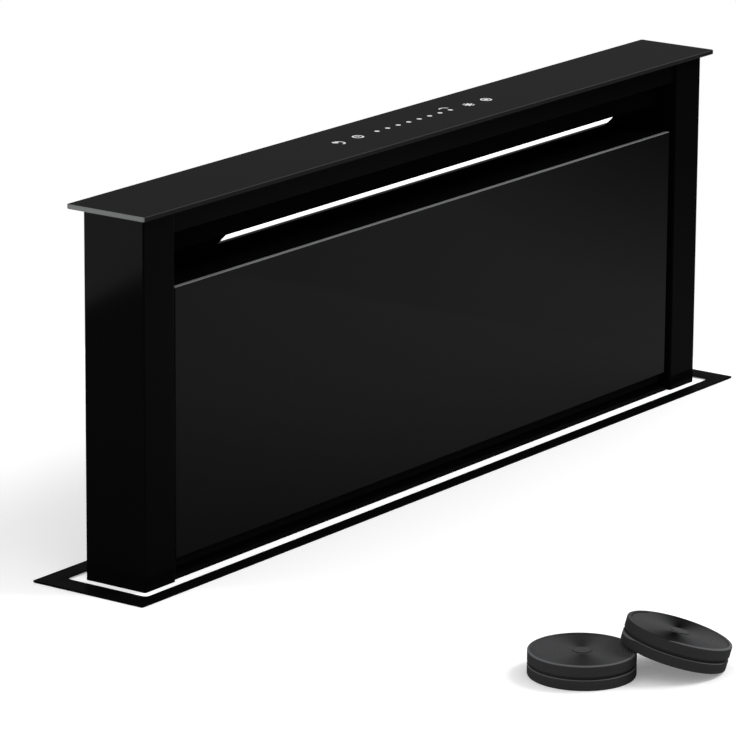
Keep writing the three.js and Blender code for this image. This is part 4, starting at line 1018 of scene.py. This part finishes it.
class VENT_OT_symbols(bpy.types.Operator):
    """Print the touch symbols on the cap"""

    bl_idname = "vent.symbols"
    bl_label = "Touch symbols"

    def execute(self, context):
        detail = context.scene.vent_detail
        line, reach = detail.symbol_line, detail.symbol_radius
        surfaces = [
            *again_symbol(line, reach),
            *clock_symbol(line, reach),
            *level_symbol(line, reach, detail.dot_radius),
            *lamp_symbol(line, reach),
            *power_symbol(line, reach),
        ]
        surface_piece("touch_symbols", surfaces, "symbols", "tower")
        return {"FINISHED"}


# ---- Flange and lip --------------------------------------------------------------------------

OPENING_HALF = (425.5 * MM, 45.0 * MM)  # half the flange's opening in x and y
LIP_BACK = 2.5 * MM  # the lip is this much narrower at the back
LIP_END = 1.7 * MM  # and this much wider at the ends
LIP_CORNER = 1.5 * MM
LIP_SECTION = (  # share of the reach, and depth below the flange's top: out on top, then back
    (-0.05, 0.06 * MM),
    (0.33, 0.06 * MM),
    (0.78, 0.12 * MM),
    (0.98, 0.3 * MM),
    (1.0, 0.55 * MM),
    (0.96, 0.8 * MM),
    (0.67, 0.95 * MM),
    (-0.05, 1.3 * MM),
)


class VENT_OT_flange(bpy.types.Operator):
    """Coat the worktop flange in matt black over its gasket"""

    bl_idname = "vent.flange"
    bl_label = "Worktop flange"

    def execute(self, context):
        eased("worktop_flange", context.scene.vent_detail.edge_ease)
        eased("flange_gasket")
        return {"FINISHED"}


class VENT_OT_lip(bpy.types.Operator):
    """Fit the rubber lip that narrows the flange's opening round the tower"""

    bl_idname = "vent.lip"
    bl_label = "Lip seal"

    def execute(self, context):
        top, reach = box_of("worktop_flange")[1][2], context.scene.vent_detail.lip_reach
        half_x, half_y = OPENING_HALF
        rings = []
        for share, depth in LIP_SECTION:
            line = rounded_frame(
                half_x - share * (reach + LIP_END),
                share * reach - half_y,
                half_y - share * (reach - LIP_BACK),
                LIP_CORNER + share * reach / 2,
            )
            rings.append(np.insert(line, 2, top - depth, axis=1))
        faces = grid_faces(len(rings), len(rings[0]), wrap_rows=True, wrap_columns=True)
        lip = (np.concatenate(rings), [faces])
        surface_piece("lip_seal", [lip], "lip_rubber", "root")
        return {"FINISHED"}


# ---- Case, lift, blower and controls ---------------------------------------------------------


class VENT_OT_case(bpy.types.Operator):
    """Finish the galvanised case with its rails and brackets"""

    bl_idname = "vent.case"
    bl_label = "Case"

    def execute(self, context):
        pieces = (
            "case_front_panel", "case_rear_panel", "case_floor_tray", "case_left_end",
            "case_right_end", "support_bracket_left", "support_bracket_right",
            "guide_rail_left", "guide_rail_right",
        )
        eased_all(pieces, context.scene.vent_detail.edge_ease)
        return {"FINISHED"}


class VENT_OT_lift(bpy.types.Operator):
    """Finish the belts, pulleys, shaft, gears and motor of the lift"""

    bl_idname = "vent.lift"
    bl_label = "Belt lift"

    def execute(self, context):
        for belt in ("timing_belt_left", "timing_belt_right"):
            eased(belt, finish="belt")
        pieces = (
            "shaft_bearing_left", "shaft_bearing_right", "idler_pulley_left", "idler_pulley_right",
            "drive_pulley_left", "drive_pulley_right", "cross_shaft", "shaft_gear", "motor_gear",
            "lift_motor", "lift_bracket_left", "lift_bracket_right",
        )
        eased_all(pieces)
        return {"FINISHED"}


class VENT_OT_blower(bpy.types.Operator):
    """Finish the blower box, its cover, the scroll, the impeller and the duct collar"""

    bl_idname = "vent.blower"
    bl_label = "Blower"

    def execute(self, context):
        eased_all(("blower_box", "blower_cover"), context.scene.vent_detail.edge_ease)
        pieces = (
            "scroll_left", "scroll_right", "impeller", "blower_motor", "inlet_ring_left",
            "inlet_ring_right", "outlet_collar", "damper_pin", "damper_flap_left",
            "damper_flap_right",
        )
        eased_all(pieces)
        return {"FINISHED"}


class VENT_OT_controls(bpy.types.Operator):
    """Finish the control box, its lid and the cable gland"""

    bl_idname = "vent.controls"
    bl_label = "Control box"

    def execute(self, context):
        eased_all(("control_box", "control_box_lid"), context.scene.vent_detail.plastic_ease)
        eased("cable_gland")
        return {"FINISHED"}


# ---- Charcoal filters ------------------------------------------------------------------------

FILTER_PLAY = 0.02 * MM  # keeps the turned filter inside its solid
FILTER_BASE = 8.5 * MM  # height of the lower half
FILTER_GROOVE = (2.5 * MM, 2.5 * MM)  # height and depth of the groove over it
FILTER_ROUNDING = 1.2 * MM  # of the lower and the upper rim
FILTER_EASE = 0.4 * MM  # of the groove's edges and the hub's
FILTER_RIM = 2.6 * MM  # width of the raised rim
FILTER_DISH = 1.0 * MM  # depth of the top inside the rim
FILTER_HUB = 7.5 * MM
RIDGE_POINTS = 6  # of the profile on each ring
QUARTER_POINTS = 5  # of the profile on each rounded rim
LEAN = math.radians(16)
LEAN_HEADING = math.radians(-42)


def filter_wall(radius):
    """Wall of a round filter: up to the groove, into it, out again and on."""
    height, depth = FILTER_GROOVE
    base, top, ease = FILTER_BASE, FILTER_BASE + height, FILTER_EASE
    return [
        (radius, base - ease), (radius - ease, base), (radius - depth, base),
        (radius - depth, top), (radius - ease, top), (radius, top + ease),
    ]


def filter_top(detail, radius, height):
    """Top of a round filter: a dished plate with rings whose height is that of a cosine, round a
    hub with eased edges."""
    floor, inner = height - FILTER_DISH, radius - FILTER_RIM
    count = int((inner - FILTER_HUB) / detail.ridge_pitch)
    steps = RIDGE_POINTS * count + 1
    along = np.linspace(inner - FILTER_DISH, FILTER_HUB + FILTER_DISH, steps)
    wave = (1 - np.cos(np.linspace(0, 2 * math.pi * count, steps))) / 2
    rings = np.stack([along, floor + detail.ridge_height * wave], axis=-1)
    level = height - FILTER_EASE
    hub = [
        (FILTER_HUB, floor), (FILTER_HUB - FILTER_EASE, level),
        (FILTER_HUB - 2 * FILTER_EASE, level), (0.0, level),
    ]
    return np.concatenate([[(inner, height)], rings, hub])


def filter_profile(detail, radius, height):
    """Half section of a round filter from the middle of its underside to the middle of its top,
    with a quarter arc at each rim."""
    quarter = np.linspace(0, math.pi / 2, QUARTER_POINTS)
    sine, cosine = FILTER_ROUNDING * np.sin(quarter), FILTER_ROUNDING * np.cos(quarter)
    edge, crown = radius - FILTER_ROUNDING, height - FILTER_ROUNDING
    foot = np.stack([edge + sine, FILTER_ROUNDING - cosine], axis=-1)
    rim = np.stack([edge + cosine, crown + sine], axis=-1)
    top = filter_top(detail, radius, height)
    return np.concatenate([[(0.0, 0.0)], foot, filter_wall(radius), rim, top])


class VENT_OT_charcoal_filters(bpy.types.Operator):
    """Turn the two round charcoal filters with their rings and groove"""

    bl_idname = "vent.charcoal_filters"
    bl_label = "Charcoal filters"

    def execute(self, context):
        detail = context.scene.vent_detail
        low, high = box_of("carbon_filter_flat")
        radius, height = (high[0] - low[0]) / 2 - FILTER_PLAY, high[2] - low[2]
        disc = turned(filter_profile(detail, radius, height), detail.turned_sides)
        disc = moved(disc, Matrix.Translation((0.0, 0.0, -height / 2)))
        lean = Matrix.Rotation(LEAN_HEADING, 4, "Z") @ Matrix.Rotation(LEAN, 4, "Y")
        for word, turn in (("flat", Matrix.Identity(4)), ("leaning", lean)):
            name, node = "charcoal_filter_" + word, "carbon_filter_" + word
            surface = moved(disc, Matrix.Translation(centre_of(node)) @ turn)
            finish = "filter_" + word
            surface_piece(name, [surface], finish, "root", [node])
        return {"FINISHED"}


# ---- Screws ----------------------------------------------------------------------------------

FRONT = (0.0, -1.0, 0.0)
REAR = (0.0, 1.0, 0.0)
SCREW_SIDES = 24
SCREW_RINGS = (0.0, 0.12, 0.22, 0.32, 0.42, 0.5, 0.62, 0.8, 0.92, 1.0, 1.0)  # of the radius
SCREW_CROWN = 0.75  # share of the height that the head falls by towards its rim
CROSS_HALF, CROSS_REACH = 0.13, 0.5  # of the drive's bars, as shares of the radius
CROSS_DEPTH = 0.55  # share of the height
COVER_INSET = 6.5 * MM
COVER_SCREWS = 4  # along each side
COLLAR_INSET = 6.5 * MM
COLLAR_SHEET = 1.75 * MM  # thickness of the collar's flange
COLLAR_SCREWS = 6
LID_INSET = 8.0 * MM
CASE_INSET = 4.5 * MM
CASE_SCREW_HEIGHTS = (-0.083, -0.175, -0.267, -0.359, -0.42)
BRACKET_SHEET = 2.0 * MM
BRACKET_STEP = 11.0 * MM  # from the middle of the bracket to its screws
BRACKET_INSET = 12.0 * MM
SHELL_INSET = 14.0 * MM
SHELL_SCREW_LOWEST = 30.0 * MM
SHELL_SCREW_SIZE = 0.8  # of the other screws
SHELL_SCREWS = 5  # up each column


def screw_head(radius, height):
    """A pan head seen along Z: its height falls with the sixth power of the radius, and by a
    further share inside a cross of two bars. A short wall takes its rim down to the face."""
    share = np.array(SCREW_RINGS)
    angle = np.arange(SCREW_SIDES) * 2 * math.pi / SCREW_SIDES
    x, y = np.outer(share, np.cos(angle)), np.outer(share, np.sin(angle))
    along, across = np.maximum(abs(x), abs(y)), np.minimum(abs(x), abs(y))
    in_cross = (across < CROSS_HALF) & (along < CROSS_REACH)
    rise = height * ((1 - SCREW_CROWN * share**6)[:, None] - CROSS_DEPTH * in_cross)
    rise[-1] = 0.0
    points = np.stack([x * radius, y * radius, rise], axis=-1).reshape(-1, 3)
    rim = len(points) - SCREW_SIDES + np.arange(SCREW_SIDES)
    middle = np.full(SCREW_SIDES, len(points))
    closing = np.stack([rim, middle, np.roll(rim, -1)], axis=-1)
    faces = [grid_faces(len(share), SCREW_SIDES, wrap_columns=True), closing]
    return np.concatenate([points, [(0.0, 0.0, 0.0)]]), faces


def screws(name, spots, outward, body="root", finish="bright_steel", size=1.0):
    """Pan-head screws on a flat face: the same head at each spot, with its axis outward."""
    detail = bpy.context.scene.vent_detail
    head = screw_head(detail.screw_radius * size, detail.screw_height * size)
    turn = Vector(outward).to_track_quat("Z", "Y").to_matrix().to_4x4()
    surfaces = [moved(head, Matrix.Translation(spot) @ turn) for spot in spots]
    surface_piece(name, surfaces, finish, body)


class VENT_OT_screws(bpy.types.Operator):
    """Drive the screws of the case, brackets, blower cover, collar, lid and shell"""

    bl_idname = "vent.screws"
    bl_label = "Screws"

    def execute(self, context):
        self.cover()
        self.collar()
        self.lid()
        self.case()
        self.brackets()
        self.shell()
        return {"FINISHED"}

    def cover(self):
        """Screws round the rim of the blower cover."""
        low, high = box_of("blower_cover")
        across, up = (
            np.linspace(low[axis] + COVER_INSET, high[axis] - COVER_INSET, COVER_SCREWS)
            for axis in (0, 2)
        )
        spots = [(x, low[1], z) for x in across for z in up[[0, -1]]]
        spots += [(x, low[1], z) for x in across[[0, -1]] for z in up[1:-1]]
        screws("cover_screws", spots, FRONT)

    def collar(self):
        """Screws in a circle through the flange of the outlet collar."""
        low, high = box_of("outlet_collar")
        middle, radius = (low + high) / 2, (high[0] - low[0]) / 2 - COLLAR_INSET
        face = box_of("blower_cover")[0][1] - COLLAR_SHEET
        first = 180 / COLLAR_SCREWS
        circle = arc_path(middle[[0, 2]], radius, first, first + 360, COLLAR_SCREWS + 1)[:-1]
        screws("collar_screws", np.insert(circle, 1, face, axis=1), FRONT)

    def lid(self):
        """Screws in the corners of the control box's lid."""
        low, high = box_of("control_box_lid")
        across, up = ((low[axis] + LID_INSET, high[axis] - LID_INSET) for axis in (0, 2))
        screws("lid_screws", [(x, low[1], z) for x in across for z in up], FRONT)

    def case(self):
        """Screws down both ends of the case, in front and behind."""
        low, high = box_of("case_front_panel")
        sides = (low[0] + CASE_INSET, high[0] - CASE_INSET)
        back = box_of("case_rear_panel")[1][1]
        for name, face, outward in (("front_screws", low[1], FRONT), ("rear_screws", back, REAR)):
            screws(name, [(x, face, z) for x in sides for z in CASE_SCREW_HEIGHTS], outward)

    def brackets(self):
        """Two screws through each support bracket."""
        spots = []
        for node in ("support_bracket_left", "support_bracket_right"):
            low, high = box_of(node)
            middle, face = (low[0] + high[0]) / 2, high[1] - BRACKET_SHEET
            for x in (middle - BRACKET_STEP, middle + BRACKET_STEP):
                spots.append((x, face, high[2] - BRACKET_INSET))
        screws("bracket_screws", spots, FRONT)

    def shell(self):
        """Screws up both columns, behind the tower."""
        high = box_of("left_column")[1]
        side = high[0] - SHELL_INSET
        heights = np.linspace(SHELL_SCREW_LOWEST, high[2] - SHELL_INSET, SHELL_SCREWS)
        spots = [(x, high[1], z) for x in (side, -side) for z in heights]
        screws("shell_screws", spots, REAR, "tower", "black_steel", SHELL_SCREW_SIZE)


# ---- Studio ----------------------------------------------------------------------------------

CAMERA_PLACE = Vector((-3.4904, -2.4754, 1.2427))
CAMERA_AHEAD = Vector((0.78294796, 0.56554258, -0.25914106))
CAMERA_RIGHT = Vector((0.58695031, -0.80959669, 0.00652209))
CAMERA_LENS, CAMERA_SENSOR = 251.54, 36.0  # mm
CAMERA_REACH = (0.1, 100.0)  # nearest and farthest that it sees
SLAB = (-0.76, 0.48, -0.62, 0.50)  # left, right, front and back edge of the floor
SLAB_POINTS = 5  # along each side
FLOOR_FADE = (-0.4, 0.25)  # painted shade in reflections: the floor's reflection grows to full from left to right between these
FLOOR_REFLECTION_SHADE = 0.5  # the painted shade's level: what the reflection begins with
OPENING_PAINTED_LIGHT = 0.13  # painted light: the floor inside the flange's opening glows this much more, where the tower shades it
KEY_SPOT = (2.2, -2.3, 3.4)
SIDE_SPOT = (-1.0, 0.475, 0.205)
SIDE_HEADING = (-0.155, -0.988, 0.0)
FLAG_HEADING = (math.radians(-30.5), math.radians(-7.0))  # azimuth and elevation
FLAG_REACH = (math.radians(7.6), math.radians(5.5))  # where the dark flag begins and is full
WHITE = (1.0, 1.0, 1.0)


def placed(name, data, matrix):
    """The camera, a light or the floor in the scene."""
    made = bpy.data.objects.new(name, data)
    made.matrix_world = matrix
    bpy.context.scene.collection.objects.link(made)
    return made


def lamp(name, power, size, spot, heading):
    """A square soft light that shines along a heading and stays out of the picture."""
    data = bpy.data.lights.new(name, "AREA")
    data.energy = power
    data.size = size
    turn = Vector(heading).to_track_quat("-Z", "Y").to_matrix().to_4x4()
    placed(name, data, Matrix.Translation(spot) @ turn).visible_camera = False


def slab_surface(thickness):
    """A flat slab: a grid of points for its top, the same grid lower down, and walls along the
    grid's rim."""
    left, right, front, back = SLAB
    count = SLAB_POINTS
    steps = np.linspace(0.0, 1.0, count)
    x, y = np.meshgrid(left + (right - left) * steps, front + (back - front) * steps, indexing="ij")
    top = np.stack([x, y, np.zeros_like(x)], axis=-1).reshape(-1, 3)
    index = np.arange(count * count).reshape(count, count)
    rim = np.concatenate([index[:, 0], index[-1, 1:-1], index[::-1, -1], index[0, -2:0:-1]])
    ahead, under = np.roll(rim, -1), len(top)
    walls = np.stack([rim, ahead, ahead + under, rim + under], axis=-1)
    sheet = grid_faces(count, count)
    return np.concatenate([top, top - (0.0, 0.0, thickness)]), [sheet, sheet + under, walls]


def opening_mask(tree, spot):
    """One inside the flange's opening, nought outside it."""
    within = [
        sums(tree, "LESS_THAN", sums(tree, "ABSOLUTE", spot[axis]), reach)
        for axis, reach in zip("XY", OPENING_HALF)
    ]
    return product(tree, *within)


def floor_finish(studio):
    """White floor. Gloss sees it dim at the left, a painted shade in its reflections, and the
    camera sees a little glow on it, with painted light inside the flange's opening.
    """
    made, tree, shader = material(
        "floor", {"Roughness": 0.9, "Specular IOR Level": 0.0, "Emission Strength": 1.0}
    )
    colour = spread(tree, studio.floor, 0.003, 4.0)
    rays = add_node(tree, "LightPath").outputs
    spot = parts_of(tree, coordinates(tree))
    # painted shade in reflections: gloss sees the floor darker towards the left
    painted_reflection_shade = ramp(tree, spot["X"], *FLOOR_FADE, low=FLOOR_REFLECTION_SHADE)
    reflection_shaded_colour = vector_step(tree, "SCALE", colour, scale=painted_reflection_shade)
    link(tree, mixed(tree, rays["Is Glossy Ray"], colour, reflection_shaded_colour), shader, "Base Color")
    opening = opening_mask(tree, spot)
    # painted light inside the flange's opening, on top of the floor's even glow
    paper = sums(tree, "MULTIPLY_ADD", opening, OPENING_PAINTED_LIGHT, studio.paper)
    glow = product(tree, rays["Is Camera Ray"], paper)
    link(tree, vector_step(tree, "SCALE", WHITE, scale=glow), shader, "Emission Color")
    return made


def flag_share(tree, dark):
    """What gloss sees of the surroundings: white, but for a round dark card at one heading."""
    turn, rise = FLAG_HEADING
    ahead = (math.cos(turn) * math.cos(rise), math.sin(turn) * math.cos(rise), math.sin(rise))
    near = vector_step(tree, "DOT_PRODUCT", coordinates(tree, "Generated"), ahead)
    begin, full = (math.cos(reach) for reach in FLAG_REACH)
    return ramp(tree, near, begin, full, 1.0, dark, curve="LINEAR")


class VENT_OT_studio(bpy.types.Operator):
    """Set up the camera, the floor, the soft lights and the white surroundings"""

    bl_idname = "vent.studio"
    bl_label = "Studio"

    def execute(self, context):
        studio = context.scene.vent_studio
        self.camera(context.scene)
        self.floor(studio)
        self.surroundings(context.scene, studio)
        lamp("key_light", studio.key_power, studio.key_size, KEY_SPOT, -Vector(KEY_SPOT))
        lamp("side_light", studio.side_power, studio.side_size, SIDE_SPOT, SIDE_HEADING)
        context.scene.view_settings.view_transform = "Standard"
        return {"FINISHED"}

    def camera(self, scene):
        """The camera, as it was fitted to the photograph."""
        data = bpy.data.cameras.new("camera")
        data.lens, data.sensor_width = CAMERA_LENS, CAMERA_SENSOR
        data.clip_start, data.clip_end = CAMERA_REACH
        up = CAMERA_RIGHT.cross(CAMERA_AHEAD)
        turn = Matrix((CAMERA_RIGHT, up, -CAMERA_AHEAD)).transposed().to_4x4()
        scene.camera = placed("camera", data, Matrix.Translation(CAMERA_PLACE) @ turn)

    def floor(self, studio):
        """The floor slab, which belongs to the studio and not to the vent."""
        mesh = new_mesh("floor_slab", [slab_surface(studio.floor_thickness)])
        mesh.materials.append(floor_finish(studio))
        slab = placed("floor_slab", mesh, Matrix.Identity(4))

    def surroundings(self, scene, studio):
        """White for what the camera and gloss see, and an even light."""
        world = bpy.data.worlds.new("surroundings")
        world.use_nodes = True
        tree = world.node_tree
        rays = add_node(tree, "LightPath").outputs
        clear = sums(tree, "MAXIMUM", rays["Is Camera Ray"], rays["Is Transmission Ray"])
        gloss = product(tree, rays["Is Glossy Ray"], flag_share(tree, studio.flag))
        seen = sums(tree, "MAXIMUM", clear, gloss)
        either = sums(tree, "MAXIMUM", clear, rays["Is Glossy Ray"])
        inputs = {"Factor": either, "A": studio.ambient, "B": seen}
        level = add_node(tree, "Mix", inputs, data_type="FLOAT").outputs[0]
        background = tree.nodes["Background"]
        background.inputs["Color"].default_value = opaque(WHITE)
        tree.links.new(level, background.inputs["Strength"])
        scene.world = world


# ---- Add-on ----------------------------------------------------------------------------------

OPERATORS = [
    VENT_OT_studio,
    VENT_OT_glass,
    VENT_OT_symbols,
    VENT_OT_tower,
    VENT_OT_light,
    VENT_OT_rest_strip,
    VENT_OT_grease_filters,
    VENT_OT_flange,
    VENT_OT_lip,
    VENT_OT_case,
    VENT_OT_lift,
    VENT_OT_blower,
    VENT_OT_controls,
    VENT_OT_charcoal_filters,
    VENT_OT_screws,
]
SETTINGS = {"vent_finish": VentFinish, "vent_detail": VentDetail, "vent_studio": VentStudio}


class VENT_PT_panel(bpy.types.Panel):
    """Settings of the vent, and the steps that finish it, in order"""

    bl_idname = "VENT_PT_panel"
    bl_label = "Downdraft vent"
    bl_space_type = "VIEW_3D"
    bl_region_type = "UI"
    bl_category = "Vent"

    def draw(self, context):
        for label, settings in SETTINGS.items():
            box = self.layout.box()
            box.label(text=settings.__doc__)
            for name in settings.__annotations__:
                box.prop(getattr(context.scene, label), name)
        for step in OPERATORS:
            self.layout.operator(step.bl_idname)


def register():
    """Registers the settings, the operators and the panel."""
    for label, settings in SETTINGS.items():
        bpy.utils.register_class(settings)
        setattr(bpy.types.Scene, label, PointerProperty(type=settings))
    for step in OPERATORS:
        bpy.utils.register_class(step)
    bpy.utils.register_class(VENT_PT_panel)


def unregister():
    """Takes back what register did."""
    bpy.utils.unregister_class(VENT_PT_panel)
    for step in reversed(OPERATORS):
        bpy.utils.unregister_class(step)
    for label, settings in SETTINGS.items():
        delattr(bpy.types.Scene, label)
        bpy.utils.unregister_class(settings)


def main():
    register()
    for step in OPERATORS:
        group, name = step.bl_idname.split(".")
        getattr(getattr(bpy.ops, group), name)()


if __name__ == "__main__":
    main()
